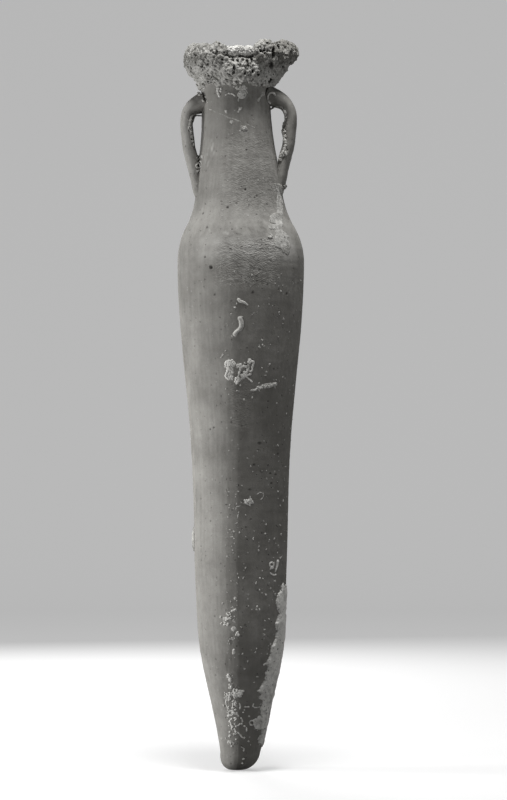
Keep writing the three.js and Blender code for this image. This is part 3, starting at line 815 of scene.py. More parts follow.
def painted_shade_and_stains(points, azimuth, height):
    """Painted shade and stains on the wall: its right side below the belt is darkened as painted shade of the
    side turned from the key lamp, a faint darker band lies at the belt, and spots of stains and painted
    shadows are added.
    """
    # Painted shade of the side turned from the key lamp: a wavy hard edge down the front, reaching round to
    # the back and up to the belt, weaker higher up the wall.
    edge = azimuth + 1.6 * rolling(points * (1, 1, 0.06), 2.4, seed=55) + 1.2 * rolling(points, 30, seed=56)
    shade_and_stain = 0.32 * eased(edge, -18, -13.5) + 0.68 * eased(edge, -7, -1.5)
    shade_and_stain = shade_and_stain * eased(-azimuth, -175, -125) * eased(-height, -605, -545)
    shade_and_stain = shade_and_stain * (1 - 0.38 * eased(height, 405, 485))
    shade_and_stain = shade_and_stain * (1 + eased(-height, -300, -240) * (0.08 - 0.2 * eased(azimuth, 8, 25)))
    shade_and_stain = np.maximum(shade_and_stain, 0.22 * eased(height, 530, 550) * eased(-height, -606, -588))
    shade_and_stain = shade_and_stain * (0.92 + 0.3 * rolling(points, 24, seed=15) + 0.16 * rolling(points, 7, seed=16))
    shade_and_stain = shade_and_stain * (1 + 0.2 * eased(azimuth, 40, 80))
    return np.clip(np.maximum(shade_and_stain, marked(points, SHADE_AND_STAIN_SPOTS)), 0, 1.2)


def pale_and_painted_light(points, azimuth, height):
    """How pale the wall is: rubbed pale in smears and along the belt, and on the bare stretch of rim partly
    its own paler face and partly painted light.
    """
    smears = 0.7 * marked(points, PALE_CLAY)
    smears = smears * np.clip(0.35 + 0.9 * rolling(points * (1, 1, 0.45), 2.4, seed=62), 0, 1)
    belt = 0.45 * patch_mask(azimuth, height, *BLEACHED_BELT) * (0.8 + 0.6 * rolling(points, 9, seed=65))
    lip = patch_mask(azimuth, height, *BARE_LIP) * (0.75 + 0.3 * rolling(points, 5, seed=66))
    return np.maximum(np.maximum(smears, belt), lip)


def weathered(piece):
    """Cuts pits and scuffs into a thrown piece, and notes where its film, painted shade and stains, pale
    places and painted light, and hollows painted near-black as painted shade are.
    """
    mesh = piece.data
    points = points_of(mesh)
    azimuth, height = azimuth_and_height(points)
    radial = np.hypot(points[:, 0] - lean_at(height), points[:, 1])
    outer = eased(radial - radius_at(height), -3.5, -2.0)
    turn = np.radians(azimuth)
    outward = np.stack([np.sin(turn), -np.cos(turn), 0 * turn], axis=-1)
    depth = np.zeros(len(points))
    hollow = np.zeros(len(points))
    for pit_azimuth, pit_height, pit_radius, pit_depth in PITS:
        away = np.abs((azimuth - pit_azimuth + 180) % 360 - 180) * math.pi / 180 * radial
        gap = np.hypot(away, height - pit_height) / pit_radius
        raised_edge = 0.25 * pit_depth * np.clip(1 - (gap - 1.3) ** 2 / 0.09, 0, 1)
        depth += pit_depth * np.clip(1 - gap**2, 0, 1) - raised_edge
        # Their hollows are noted, to be painted near-black as painted shade.
        hollow = np.maximum(hollow, np.clip(1.3 - gap, 0, 1))
    film = 0.15 + 0.55 * eased(azimuth, -16, 8) * eased(-azimuth, -150, -100)
    film = film * (0.65 + 0.5 * rolling(points, 38, seed=5))
    scuff = patch_mask(azimuth, height, *BELT_SCUFF)
    scuff = scuff * (0.75 + 0.6 * rolling(points, 17, seed=61))
    scuff = np.maximum(scuff, 0.3 * patch_mask(azimuth, height, *SHOULDER_SCUFF))
    scuff = np.maximum(scuff, 0.6 * patch_mask(azimuth, height, *WAIST_SCUFF))
    nicks = pocked(points, 6.5, 1.3, share=0.35, seed=41)
    lower_side = 0.15 + 0.85 * eased(azimuth, -16, 4) * eased(-azimuth, -170, -140)
    random_pits = pocked(points, 13, 1.15, share=0.5, seed=71) * lower_side
    depth += 0.7 * scuff * nicks + 0.6 * random_pits * (0.35 + film)
    hollow = np.maximum(hollow, np.maximum(0.5 * scuff * nicks, 0.6 * random_pits))
    film = np.maximum(film, 0.6 * scuff)
    points -= outward * (depth * outer)[:, None]
    put_points(mesh, points)
    gouge, graze = scratched(points, 75, seed=4), scratched(points, 55, seed=9)
    pale = np.maximum(pale_and_painted_light(points, azimuth, height), 0.42 * graze * (1 - gouge))
    # Gouges and the pits seen on the front are noted to be painted near-black too, as painted shade.
    hollow = np.maximum(hollow, 0.42 * gouge)
    hollow = np.maximum(hollow, np.minimum(1, 1.6 * marked(points, PIT_MARKS)))
    # Painted shade of the right side and painted shadows, with stains.
    shade_and_stain = painted_shade_and_stains(points, azimuth, height)
    notes = {"film": film, "hollow": hollow, "shade_and_stain": shade_and_stain, "scuff": scuff, "pale": pale}
    for name, values in notes.items():
        note(mesh, name, values * outer)
    mesh.set_sharp_from_angle(angle=math.radians(38))


thrown_ring, ring_names = throwing_tree()
RINGS = {
    "toe": (toe_section(), TOE["radius"]),
    "heel_wall": (ring_section(TOE_TOP, TAPER_TOP), TAPER["radius"]),
    "lower_wall": (ring_section(TAPER_TOP, WAIST), LOWER_WALL["radius"]),
    "upper_wall": (ring_section(WAIST, BELT), UPPER_WALL["radius"]),
    "shoulder": (ring_section(BELT, NECK_BASE), UPPER_WALL["radius"]),
    "neck": (ring_section(NECK_BASE, RIM_BASE), NECK_ROOT["radius"]),
    "rim": (rim_section(), RIM["radius"]),
}
for name, (section, radius) in RINGS.items():
    columns = int(round(2 * math.pi * radius / COLUMN / 8)) * 8
    values = {"Columns": columns, "Clay": clay}
    thrown = grown(f"thrown_{name}", section_mesh(section), thrown_ring, ring_names, values)
    weathered(thrown)
    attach(thrown, "root")
    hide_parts(name)


# Handles
# Two rolled straps of the same clay, luted to the neck under the rim, bowed out and wiped down on the neck's
# foot. The left one was set 8 mm lower and closer to the neck than the right one.
# Thickness and width of a strap, and at its root under the rim and its foot.
HANDLE = {"thickness": 15, "root_thickness": 25, "foot_thickness": 14}
HANDLE |= {"width": 32, "root_width": 42, "foot_width": 36}
HANDLE_FOOT = NECK_BASE - 14
RIGHT_HANDLE = {"top_below_rim": 37, "reach": 22.5, "side": 1}
LEFT_HANDLE = {"top_below_rim": 45, "reach": 17.6, "side": -1}
# Shares of the way down and of the reach that a strap's middle passes through.
BOW = [
    (0, -0.25), (0.06, 0.48), (0.11, 0.81), (0.18, 0.98), (0.26, 1), (0.37, 0.89), (0.49, 0.74), (0.6, 0.49),
    (0.72, 0.22), (0.83, 0), (0.94, -0.22), (1, -0.4),
]
# Points along a strap and round it.
HANDLE_STEPS = 190
HANDLE_SIDES = 96
# How deep in mm the straps' ends may lie in the wall.
HANDLE_SEAT = 3.0


def smooth_course(knots, count):
    """Points on a smooth curve through knots."""
    knots = np.asarray(knots, float)
    ends = np.vstack([2 * knots[0] - knots[1], knots, 2 * knots[-1] - knots[-2]])
    where = np.linspace(0, len(knots) - 1, count)
    first = np.minimum(where.astype(int), len(knots) - 2)
    t = (where - first)[:, None]
    a, b, c, d = (ends[first + k] for k in range(4))
    return 0.5 * (2 * b + (c - a) * t + (2 * a - 5 * b + 4 * c - d) * t**2 + (3 * b - a - 3 * c + d) * t**3)


def strap_spine(handle):
    """Middle line of a strap as a mesh, with the way out, width and thickness at each point."""
    top = RIM_BASE - handle["top_below_rim"]
    knots = []
    for down, out in BOW:
        height = top - (top - HANDLE_FOOT) * down
        knots.append((radius_at(height) + handle["reach"] * out, 0, height))
    centre = smooth_course(knots, HANDLE_STEPS)
    along = np.gradient(centre, axis=0)
    along /= np.linalg.norm(along, axis=1)[:, None]
    outward = np.cross(along, (0, 1, 0))
    share = np.linspace(0, 1, HANDLE_STEPS)
    root = np.clip(1 - share / 0.3, 0, 1) ** 2
    foot = eased(share, 0.55, 1)

    def blended(size, at_root, at_foot):
        return size + (at_root - size) * root + (at_foot - size) * foot

    thickness = blended(HANDLE["thickness"], HANDLE["root_thickness"], HANDLE["foot_thickness"])
    width = blended(HANDLE["width"], HANDLE["root_width"], HANDLE["foot_width"])
    closed = np.ones(HANDLE_STEPS)
    closed[[0, -1]] = 0
    side = handle["side"]
    centre = centre * (side, 1, 1)
    centre[:, 0] += lean_at(centre[:, 2])
    outward = outward * (side, 1, 1)
    mesh = bpy.data.meshes.new("spine")
    mesh.vertices.add(HANDLE_STEPS)
    mesh.vertices.foreach_set("co", (centre * MM).astype(np.float32).ravel())
    way = mesh.attributes.new("outward", "FLOAT_VECTOR", "POINT")
    way.data.foreach_set("vector", outward.astype(np.float32).ravel())
    note(mesh, "half_width", width / 2 * closed * MM * side)
    note(mesh, "half_thickness", thickness / 2 * closed * MM)
    return mesh


def strap_tree():
    """Sweeps an oval along a spine, with the width and thickness that the spine gives."""
    tree = bpy.data.node_groups.new("rolled_strap", "GeometryNodeTree")
    names = add_inputs(tree, "Geometry", {"Spine": None})
    names |= add_inputs(tree, "Int", {"Sides": HANDLE_SIDES})
    names |= add_inputs(tree, "Float", {"Squareness": 0.88})
    names |= add_inputs(tree, "Material", {"Clay": None})
    add_output(tree, "Strap", "Geometry")
    given = add_node(tree, "NodeGroupInput").outputs
    spine = given["Spine"]
    steps = points_in(tree, spine)
    around = combine(tree, "ADD", given["Sides"], 1)
    sheet = add_node(tree, "GeometryNodeMeshGrid", None, {"Vertices X": around, "Vertices Y": steps})
    index = add_node(tree, "GeometryNodeInputIndex").outputs[0]
    step = combine(tree, "MODULO", index, steps)
    turn = turn_at(tree, index, steps, given["Sides"])

    def squared(wave):
        """A wave drawn towards its ends, which makes the oval a little square."""
        size = combine(tree, "POWER", combine(tree, "ABSOLUTE", wave), given["Squareness"])
        return combine(tree, "MULTIPLY", size, combine(tree, "SIGN", wave))

    place = add_node(tree, "GeometryNodeInputPosition").outputs[0]
    centre = sampled(tree, spine, "FLOAT_VECTOR", place, step)
    outward = sampled(tree, spine, "FLOAT_VECTOR", field(tree, "FLOAT_VECTOR", "outward"), step)
    half_width = sampled(tree, spine, "FLOAT", field(tree, "FLOAT", "half_width"), step)
    half_thickness = sampled(tree, spine, "FLOAT", field(tree, "FLOAT", "half_thickness"), step)
    across = combine(tree, "MULTIPLY", half_width, squared(combine(tree, "COSINE", turn)))
    out = combine(tree, "MULTIPLY", half_thickness, squared(combine(tree, "SINE", turn)))
    sideways = add_node(tree, "ShaderNodeCombineXYZ", None, {1: across}).outputs[0]
    inputs = {0: outward, "Scale": out}
    raised = add_node(tree, "ShaderNodeVectorMath", {"operation": "SCALE"}, inputs).outputs[0]
    spot = add_node(tree, "ShaderNodeVectorMath", {"operation": "ADD"}, {0: centre, 1: sideways}).outputs[0]
    spot = add_node(tree, "ShaderNodeVectorMath", {"operation": "ADD"}, {0: spot, 1: raised}).outputs[0]
    give_dressed(tree, closed_sheet(tree, sheet, spot), given["Clay"])
    return tree, names


def pushed_out(points, deep):
    """Moves points that lie deeper than this in the jar's wall straight out to that depth."""
    axis = lean_at(points[:, 2])
    x, y, z = points[:, 0] - axis, points[:, 1], points[:, 2]
    radius = np.hypot(x, y)
    inner = radius_at(z)
    inner = np.where(z > RIM_TOP - RIM["band"], RIM["radius"], inner)
    inner = np.where(z > RIM_TOP, RIM["mouth"] + RIM["edge"] / 2 + deep + 1.5, inner)
    least = inner - deep
    grow = np.where(radius < least, least / np.maximum(radius, 1e-6), 1.0)
    return np.stack([x * grow + axis, y * grow, z], axis=-1)


rolled_strap, strap_names = strap_tree()
for name, handle in (("handle_right", RIGHT_HANDLE), ("handle_left", LEFT_HANDLE)):
    strap = grown(f"rolled_{name}", strap_spine(handle), rolled_strap, strap_names, {"Clay": clay})
    mesh = strap.data
    points, normals = points_of(mesh), normals_of(mesh)
    worn = 0.35 * rolling(points, 14, seed=3) + 0.18 * rolling(points, 5, seed=8)
    worn = worn + 0.1 * rolling(points * (1, 1, 0.25), 2.4, seed=12)
    pits = pocked(points, 9, 1.2, share=0.4, seed=91)
    points = pushed_out(points + normals * (worn - 0.8 * pits)[:, None], HANDLE_SEAT)
    put_points(mesh, points)
    note(mesh, "film", 0.35 + 0.25 * rolling(points, 20, seed=6))
    note(mesh, "hollow", 0.6 * pits)
    # The right handle is darkened towards its right as painted shade, and both roots under the crust, the
    # right one most, as the crust's painted shadow.
    root = eased(points[:, 2], 774, 800) * eased(-np.abs(points[:, 0]), -60, -44)
    note(mesh, "shade_and_stain", 0.35 * eased(points[:, 0], 20, 60) + root * (0.12 + 0.26 * (points[:, 0] > 0)))
    note(mesh, "pale", 0.3 * eased(-points[:, 0], 52, 62) * eased(-points[:, 1], -4, 8))
    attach(strap, "root")
    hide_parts(name)


# Mouth crust
# The worms, barnacles and stony weed of the sea bed grew over one another round the mouth, into one
# chalky mass full of holes. Here every lump, tube and ring is a string of beads, which flow into one skin.
# The crust is made as a front and a back, so that each can be fine; gaps shut inside it are dropped.
GROWTH_DARK = (0.19, 0.185, 0.17)
GROWTH_LIGHT = (0.84, 0.83, 0.795)
# Near-black of the growth's holes: painted shade in them, with their dirt.
HOLE_COLOUR = (0.03, 0.029, 0.026)


# What each mark of wear adds to the growth's tone.
GROWTH_TONE = {"base": -0.3, "mottle": 0.6, "grit": 0.4, "ridge": 0.25}
GROWTH_SIZES = {"Mottle Size": 0.012, "Grit Size": 0.0009, "Pinhole Size": 0.0009}
GROWTH_SHARES = {"Pinhole Share": 0.6, "Speck Share": 0.5}


def growth_material():
    """Chalky growth: pale where the sea has rubbed it, its holes painted near-black with dirt and painted
    shade.
    """
    material, tree = bare_material("sea_growth")
    place = add_node(tree, "ShaderNodeTexCoord").outputs["Object"]
    wear = worn_by_sea(tree, place, GROWTH_SIZES | GROWTH_SHARES)
    hollow, ridge = noted(tree, "hollow"), noted(tree, "ridge")
    pale, grain = noted(tree, "pale"), noted(tree, "grain")
    tone = combine(tree, "MULTIPLY_ADD", wear["Mottle"], GROWTH_TONE["mottle"], GROWTH_TONE["base"])
    gritty = combine(tree, "SUBTRACT", wear["Grit"], 0.5)
    tone = combine(tree, "MULTIPLY_ADD", gritty, GROWTH_TONE["grit"], tone)
    tone = combine(tree, "MULTIPLY", tone, combine(tree, "MINIMUM", grain, 1.0))
    tone = combine(tree, "MULTIPLY_ADD", ridge, GROWTH_TONE["ridge"], tone)
    tone = combine(tree, "ADD", tone, pale)
    clean = add_node(tree, "ShaderNodeClamp", None, {0: tone}).outputs[0]
    colour = tinted(tree, clean, GROWTH_DARK, GROWTH_LIGHT)
    colour = over(tree, colour, combine(tree, "MULTIPLY", wear["Speck"], 0.35), SPECK_COLOUR)
    # Pinholes and hollows painted near-black: painted shade in them, with dirt.
    pinholes = combine(tree, "MULTIPLY", wear["Pinhole"], 0.5)
    holes = combine(tree, "MAXIMUM", pinholes, combine(tree, "MULTIPLY", hollow, 0.85))
    colour = over(tree, colour, holes, HOLE_COLOUR)
    relief = combine(tree, "MULTIPLY", wear["Pinhole"], -1.0)
    relief = combine(tree, "MULTIPLY_ADD", wear["Grit"], 0.6, relief)
    relief = combine(tree, "MULTIPLY", relief, grain)
    rough = combine(tree, "MULTIPLY_ADD", wear["Mottle"], 0.08, 0.88)
    give_surface(tree, colour, rough, relief, strength=0.8, shine=0.15)
    return material


growth = growth_material()


# How dense the mist round the beads is where their common skin lies.
SKIN_THRESHOLD = 0.12


def beads_tree():
    """Draws one skin over beads of any size, as growth fills the gaps between older growth, and drops
    shells of fewer points than the least."""
    tree = bpy.data.node_groups.new("grown_skin", "GeometryNodeTree")
    names = add_inputs(tree, "Geometry", {"Beads": None})
    names |= add_inputs(tree, "Float", {"Cell": 0.0007, "Least Shell": 0.0})
    names |= add_inputs(tree, "Material", {"Growth": None})
    add_output(tree, "Skin", "Geometry")
    given = add_node(tree, "NodeGroupInput").outputs
    radius = field(tree, "FLOAT", "radius")
    spots = add_node(tree, "GeometryNodeMeshToPoints", None, {"Mesh": given["Beads"], "Radius": radius})
    settings = {"resolution_mode": "VOXEL_SIZE"}
    inputs = {"Points": spots.outputs[0], "Voxel Size": given["Cell"], "Radius": radius}
    volume = add_node(tree, "GeometryNodePointsToVolume", settings, inputs)
    inputs = {"Volume": volume.outputs[0], "Voxel Size": given["Cell"], "Threshold": SKIN_THRESHOLD}
    skin = add_node(tree, "GeometryNodeVolumeToMesh", {"resolution_mode": "VOXEL_SIZE"}, inputs)
    shell = add_node(tree, "GeometryNodeInputMeshIsland").outputs[0]
    inputs = {0: 1.0, 1: shell}
    counted = add_node(tree, "GeometryNodeAccumulateField", {"domain": "POINT"}, inputs)
    small = combine(tree, "LESS_THAN", counted.outputs["Total"], given["Least Shell"])
    inputs = {"Geometry": skin.outputs[0], "Selection": small}
    closed = add_node(tree, "GeometryNodeDeleteGeometry", {"domain": "POINT"}, inputs)
    give_dressed(tree, closed.outputs[0], given["Growth"])
    return tree, names


grown_skin, skin_names = beads_tree()


def bead_mesh(beads):
    """Beads as (x, y, z, radius) rows in mm."""
    mesh = bpy.data.meshes.new("beads")
    mesh.vertices.add(len(beads))
    put_points(mesh, beads[:, :3])
    note(mesh, "radius", beads[:, 3] * MM)
    return mesh


def growth_piece(
    name, node, parts, cell=0.55, rough=0.25, pit=1.0, holes=0.6, deep=0.9,
    seed=1, calm=(), dark=(), pale=0.6, least=0.0
):
    """A closed piece of growth from sets of beads, roughened, pitted and seated in the jar's wall.
    Cell and deep are in mm, holes is the share of its pits, and pale runs from 0 to 1. It is smooth in
    the calm marks and sunk in the dark ones. Shells of fewer points than least, such as those round
    gaps inside, are dropped."""
    values = {"Cell": cell * MM, "Growth": growth, "Least Shell": least}
    piece = grown(name, bead_mesh(np.vstack(parts)), grown_skin, skin_names, values)
    mesh = piece.data
    points, normals = points_of(mesh), normals_of(mesh)
    bumps = 0.3 * rolling(points, 6.5, seed) + 0.4 * rolling(points, 3.1, seed=seed + 1)
    bumps = bumps + 0.4 * rolling(points, 1.5, seed=seed + 2)
    pits = pocked(points, 2.6 * pit, 0.75 * pit, share=holes, seed=seed + 3)
    pits = np.maximum(pits, pocked(points, 5.0 * pit, 1.6 * pit, share=0.8 * holes, seed=seed + 4))
    still = 1 - 0.85 * np.minimum(1, 2 * marked(points, calm))
    bumps, pits = bumps * still, pits * still
    # The dark marks are sunk and, like the pits, noted to be painted near-black: painted shade in hollows.
    sunk = marked(points, dark)
    pits = np.maximum(pits, np.minimum(1, 1.5 * sunk))
    points = points + normals * (rough * (1.3 * bumps - 2.3 * pits) - 1.5 * sunk)[:, None]
    points = pushed_out(points, deep)
    put_points(mesh, points)
    note(mesh, "hollow", np.clip(pits * 1.5 - 0.2, 0, 1))
    note(mesh, "ridge", np.clip(1.5 * bumps, -0.6, 1))
    tone = pale(points) if callable(pale) else pale
    tone = tone + 0.12 * rolling(points, 11, seed=seed + 5) + 0.1 * rolling(points, 4, seed=seed + 6)
    note(mesh, "pale", tone)
    note(mesh, "grain", np.full(len(points), min(1.3, max(0.25, rough / 0.22))))
    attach(piece, "root")
    if node:
        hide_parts(node)


# The collar of crust on the neck's top: its foot and top below the rim's top, and its thickness, in mm.
COLLAR = {"foot": 44, "top": 10, "thickness": 3.5}
# Azimuth, radius from the axis, depth below the rim's top, and half sizes outwards, round and up.
LUMPS = [
    (-87, 44, 13, (14.5, 27, 20)), (-50, 46, 14, (12, 20, 18)), (-26, 48, 14, (9, 12, 16)),
    (-25, 47, 2, (6, 7, 7)), (-15, 48, 6, (4.5, 7, 7)), (8, 45, 27, (9, 22, 14)), (48, 48, 8, (12, 18, 17)),
    (88, 58, 3, (17, 18, 14)), (86, 48, 16, (15, 17, 16)), (84, 42, 25, (11, 25, 18)),
    (130, 46, 12, (12, 28, 20)), (178, 47, 13, (11, 28, 19)), (-134, 46, 13, (13, 28, 20)),
]
# The stretch of rim that stays bare at the front: azimuths, and how far down from its top.
BARE_RIM = {"from": -9, "to": 18, "down": 11.5}


def lump_reach(azimuth, height):
    """How far from the axis the lumps and the collar reach, at azimuths and heights."""
    in_collar = (height > RIM_TOP - COLLAR["foot"]) & (height < RIM_TOP - COLLAR["top"])
    reach = np.where(in_collar, NECK_TOP["radius"] + COLLAR["thickness"], 0.0)
    for lump_azimuth, radius, below, (out, round_, up) in LUMPS:
        turn = np.radians(azimuth - lump_azimuth)
        rise = (height - (RIM_TOP - below)) / up
        a = (np.cos(turn) / out) ** 2 + (np.sin(turn) / round_) ** 2
        b = -2 * radius * np.cos(turn) / out**2
        c = (radius / out) ** 2 + rise**2 - 1
        inside = b * b - 4 * a * c
        far = (-b + np.sqrt(np.maximum(inside, 0))) / (2 * a)
        reach = np.maximum(reach, np.where((inside > 0) & (np.cos(turn) > 0.2), far, 0))
    return reach


# How far round in degrees and up in mm the crust looks for taller lumps, and how it fills the creases.
CREASE = {"round": 14, "up": 6, "even": 0.55, "highest": 0.45, "down": 2.5}


def crust_reach(azimuth, height):
    """The lumps' reach with the creases between them half filled, as growth fills them."""
    reach = lump_reach(azimuth, height)
    near = []
    for a in np.arange(8) * math.pi / 4:
        near.append(lump_reach(azimuth + CREASE["round"] * math.cos(a), height + CREASE["up"] * math.sin(a)))
    filled = CREASE["even"] * np.mean(near, axis=0) + CREASE["highest"] * np.max(near, axis=0)
    return np.maximum(reach, filled - CREASE["down"])


def spot(azimuth, radius, height):
    """Points in mm by azimuth, radius from the leaning axis and height."""
    turn = np.radians(azimuth)
    x = radius * np.sin(turn) + lean_at(height)
    return np.stack([x, -radius * np.cos(turn), height + 0 * turn], axis=-1)


def bare(azimuth, height):
    """Where the rim stays bare."""
    wobble = rolling(spot(azimuth, 50.0, height), 5, seed=81)
    along = azimuth + 4.5 * wobble
    low = RIM_TOP - BARE_RIM["down"] + 1.5 * wobble
    return (along > BARE_RIM["from"]) & (along < BARE_RIM["to"]) & (height > low)


def spread_sphere(count):
    """Directions spread evenly over a sphere."""
    i = np.arange(count) + 0.5
    tilt = np.arccos(1 - 2 * i / count)
    turn = math.pi * (1 + 5**0.5) * i
    return np.stack([np.sin(tilt) * np.cos(turn), np.sin(tilt) * np.sin(turn), np.cos(tilt)], axis=-1)


# Three shells of beads to a lump: share of its size, radius of a bead and spacing in mm.
LUMP_SHELLS = ((1.0, 2.6, 3.0), (0.66, 4.4, 4.6), (0.3, 5.0, 5.0))


def lump_beads(chance):
    """Beads that fill the lumps in three shells."""
    rows = []
    for azimuth, radius, below, half in LUMPS:
        half = np.array(half, float)
        turn = math.radians(azimuth)
        out = np.array([math.sin(turn), -math.cos(turn), 0])
        side = np.array([math.cos(turn), math.sin(turn), 0])
        centre = spot(azimuth, radius, RIM_TOP - below)
        for share, bead, spacing in LUMP_SHELLS:
            shell = half * share
            area = 4 * math.pi * np.mean([shell[0] * shell[1], shell[0] * shell[2], shell[1] * shell[2]])
            ways = spread_sphere(max(6, int(area / spacing**2)))
            sizes = np.full(len(ways), bead)
            if share == 1.0:
                sizes = bead * chance.uniform(0.6, 1.25, len(ways))
            inset = np.minimum(sizes * 0.85, shell.min() * 0.9)
            local = ways * shell - ways * inset[:, None]
            local = local + chance.normal(0, 0.6, local.shape)
            places = centre + local[:, :1] * out + local[:, 1:2] * side + local[:, 2:] * (0, 0, 1)
            rows.append(np.column_stack([places, sizes]))
    rows = np.vstack(rows)
    around, height = azimuth_and_height(rows)
    return rows[~bare(around, height)]


def skin_beads(chance):
    """Beads all over the crust's outside, down to its ragged foot on the neck."""
    rows = []
    for height in np.arange(RIM_TOP - COLLAR["foot"] - 3, RIM_TOP + 1, 2.3):
        azimuths = np.arange(0, 360, 2.9) + chance.uniform(-1.5, 1.5) - 180
        heights = height + chance.uniform(-1.1, 1.1, len(azimuths))
        sizes = chance.uniform(1.5, 3.6, len(azimuths))
        reach = crust_reach(azimuths, heights)
        foot = RIM_TOP - COLLAR["foot"] + 0.5 + 5.0 * rolling(spot(azimuths, 45.0, 0 * azimuths), 9, seed=77)
        kept = (heights > foot) & (reach > 40) & ~bare(azimuths, heights + 1)
        thin_foot = NECK_TOP["radius"] + 1 + (heights - foot) * 0.5
        reach = np.where(heights < foot + 8, np.minimum(reach, thin_foot), reach)
        places = spot(azimuths, reach - 0.75 * sizes + chance.normal(0, 0.7, len(azimuths)), heights)
        rows.append(np.column_stack([places, sizes])[kept])
    return np.vstack(rows)


# Spacing in mm of the beads of a tube, and how many tubes and knobs are strewn over the crust.
TUBE_STEP = 0.7
CRUST_TUBES = 210
CRUST_KNOBS = 1500


def crust_tube(chance, azimuth, height, way, length, bore, curl, lift):
    """A worm's tube that wanders over the crust."""
    rows = []
    for _ in range(int(length / TUBE_STEP)):
        radius = float(crust_reach(np.array(azimuth), np.array(height)))
        if radius < 40 or bare(azimuth, height):
            break
        rows.append([*spot(azimuth, radius + lift, height), bore])
        azimuth += math.degrees(TUBE_STEP * math.cos(way) / radius)
        height += TUBE_STEP * math.sin(way)
        way += curl * TUBE_STEP + chance.normal(0, 0.06)
    return rows


def crust_details(chance):
    """Tubes, rings and knobs strewn over the crust."""
    rows = []
    for _ in range(CRUST_TUBES):
        azimuth, height = chance.uniform(-180, 180), RIM_TOP + chance.uniform(-42, 4)
        curl = chance.choice([-1, 1]) * chance.uniform(0.05, 0.5)
        way, length = chance.uniform(0, 6.3), chance.uniform(5, 16)
        bore, lift = chance.uniform(0.75, 1.3), chance.uniform(-0.2, 0.9)
        rows += crust_tube(chance, azimuth, height, way, length, bore, curl, lift)
    azimuths = chance.uniform(-180, 180, CRUST_KNOBS)
    heights = RIM_TOP + chance.uniform(-42, 5, CRUST_KNOBS)
    reach = crust_reach(azimuths, heights)
    sizes = chance.uniform(0.9, 2.4, CRUST_KNOBS)
    kept = (reach > 42) & ~bare(azimuths, heights)
    places = np.column_stack([spot(azimuths, reach - 0.2, heights), sizes])[kept]
    return np.vstack([np.array(rows), places])


def on_crust(px, row):
    """Azimuth and height on the crust of a pixel of the photograph."""
    radius, azimuth = 46.0, 0.0
    for _ in range(5):
        nearer = 1 - radius * math.cos(math.radians(azimuth)) * MM / CAMERA_DISTANCE
        height = ((GROUND_PIXEL - row) * PIXEL - middle_z) / MM * nearer + middle_z / MM
        x = ((px - AXIS_PIXEL) * PIXEL - middle_x) / MM * nearer + middle_x / MM - float(lean_at(height))
        azimuth = math.degrees(math.asin(max(-0.99, min(0.99, x / radius))))
        radius = max(42.0, float(crust_reach(np.array(azimuth), np.array(height))))
    return azimuth, height


def crust_ring(px, row, half_x, half_y, bore, start=0, end=360):
    """A barnacle's or worm's ring on the crust."""
    rows = []
    for turn in np.radians(np.arange(start, end + 1, 12)):
        azimuth, height = on_crust(px + half_x * math.cos(turn), row - half_y * math.sin(turn))
        radius = float(crust_reach(np.array(azimuth), np.array(height)))
        rows.append([*spot(azimuth, radius + 0.5, height), bore / 2])
    return rows


# Rings seen on the crust: pixel, half widths in pixels, bore in mm, and where the ring starts and ends.
CRUST_RINGS = [
    (245.2, 73.6, 3.2, 3.4, 2.4, -30, 215), (258.3, 74.6, 2.2, 2.4, 1.8, 0, 360),
    (277.2, 66.0, 2.6, 4.2, 2.0, 0, 360), (288.4, 58.4, 2.2, 2.2, 2.0, 0, 300),
    (236.4, 66.4, 4.2, 3.0, 1.8, 20, 150), (262.0, 84.0, 2.6, 2.2, 2.0, 0, 360),
    (199.5, 63.5, 2.4, 2.4, 2.0, 0, 330), (214.6, 57.2, 2.2, 2.0, 1.8, 0, 360),
    (207.6, 71.0, 2.0, 2.4, 1.8, 0, 360), (225.6, 79.0, 2.4, 2.0, 1.8, 0, 300),
]
# Smooth places and dark holes seen on the crust: pixel of the photograph, and half widths in pixels. The dark
# holes are sunk and painted near-black as painted shade; those just under the bare rim band are the band's
# painted shadow.
CALM_CRUST = [(221, 70, 10, 5.5), (219, 84, 17, 3), (249, 46, 9, 4.5), (214, 84, 11, 3)]
DARK_CRUST = [
    (239.4, 54.6, 1.6, 1.2), (260.6, 50.9, 1.5, 1.5), (264.6, 50.4, 1.3, 1.4), (248.4, 65.8, 1.3, 1.6),
    (252.9, 71.3, 1.2, 2.4), (283.2, 67.3, 1.8, 1.6), (271, 79.5, 1.2, 1.4), (278.7, 47.4, 1.3, 1.8),
    (273.6, 53, 2.0, 8), (271.4, 65.5, 3.0, 3.6), (233, 59.6, 1.6, 1.5), (237.8, 60.6, 1.5, 1.6),
    (234, 68.5, 1.1, 5), (245.2, 73.6, 1.5, 1.7), (258.3, 74.6, 1.1, 1.2), (242.8, 59.6, 1.9, 1.4),
    (247.6, 60.6, 1.6, 1.7), (251.6, 59, 1.5, 1.3), (222.6, 59.8, 1.2, 1.2), (216.6, 51.6, 1.3, 2.2),
    (201.8, 66.8, 1.8, 1.4), (208.4, 76.2, 1.5, 1.3), (195.4, 55.4, 1.2, 1.2), (228.3, 52.4, 1.6, 2.4),
]


def crust_paleness_and_painted_light(points):
    """The crust's underside is painted paler than its top, most of all on the right, where its top is painted
    darkest: painted light under it and painted shade on top, which even out the top lamp.
    """
    low = eased(RIM_TOP - points[:, 2], 10, 34)
    painted_shade_top = 0.09 * eased(points[:, 0], 20, 55) * (1 - low)
    painted_light_foot = 0.15 * eased(points[:, 0], -10, 30) * low
    return 0.13 + 0.245 * low - painted_shade_top + painted_light_foot


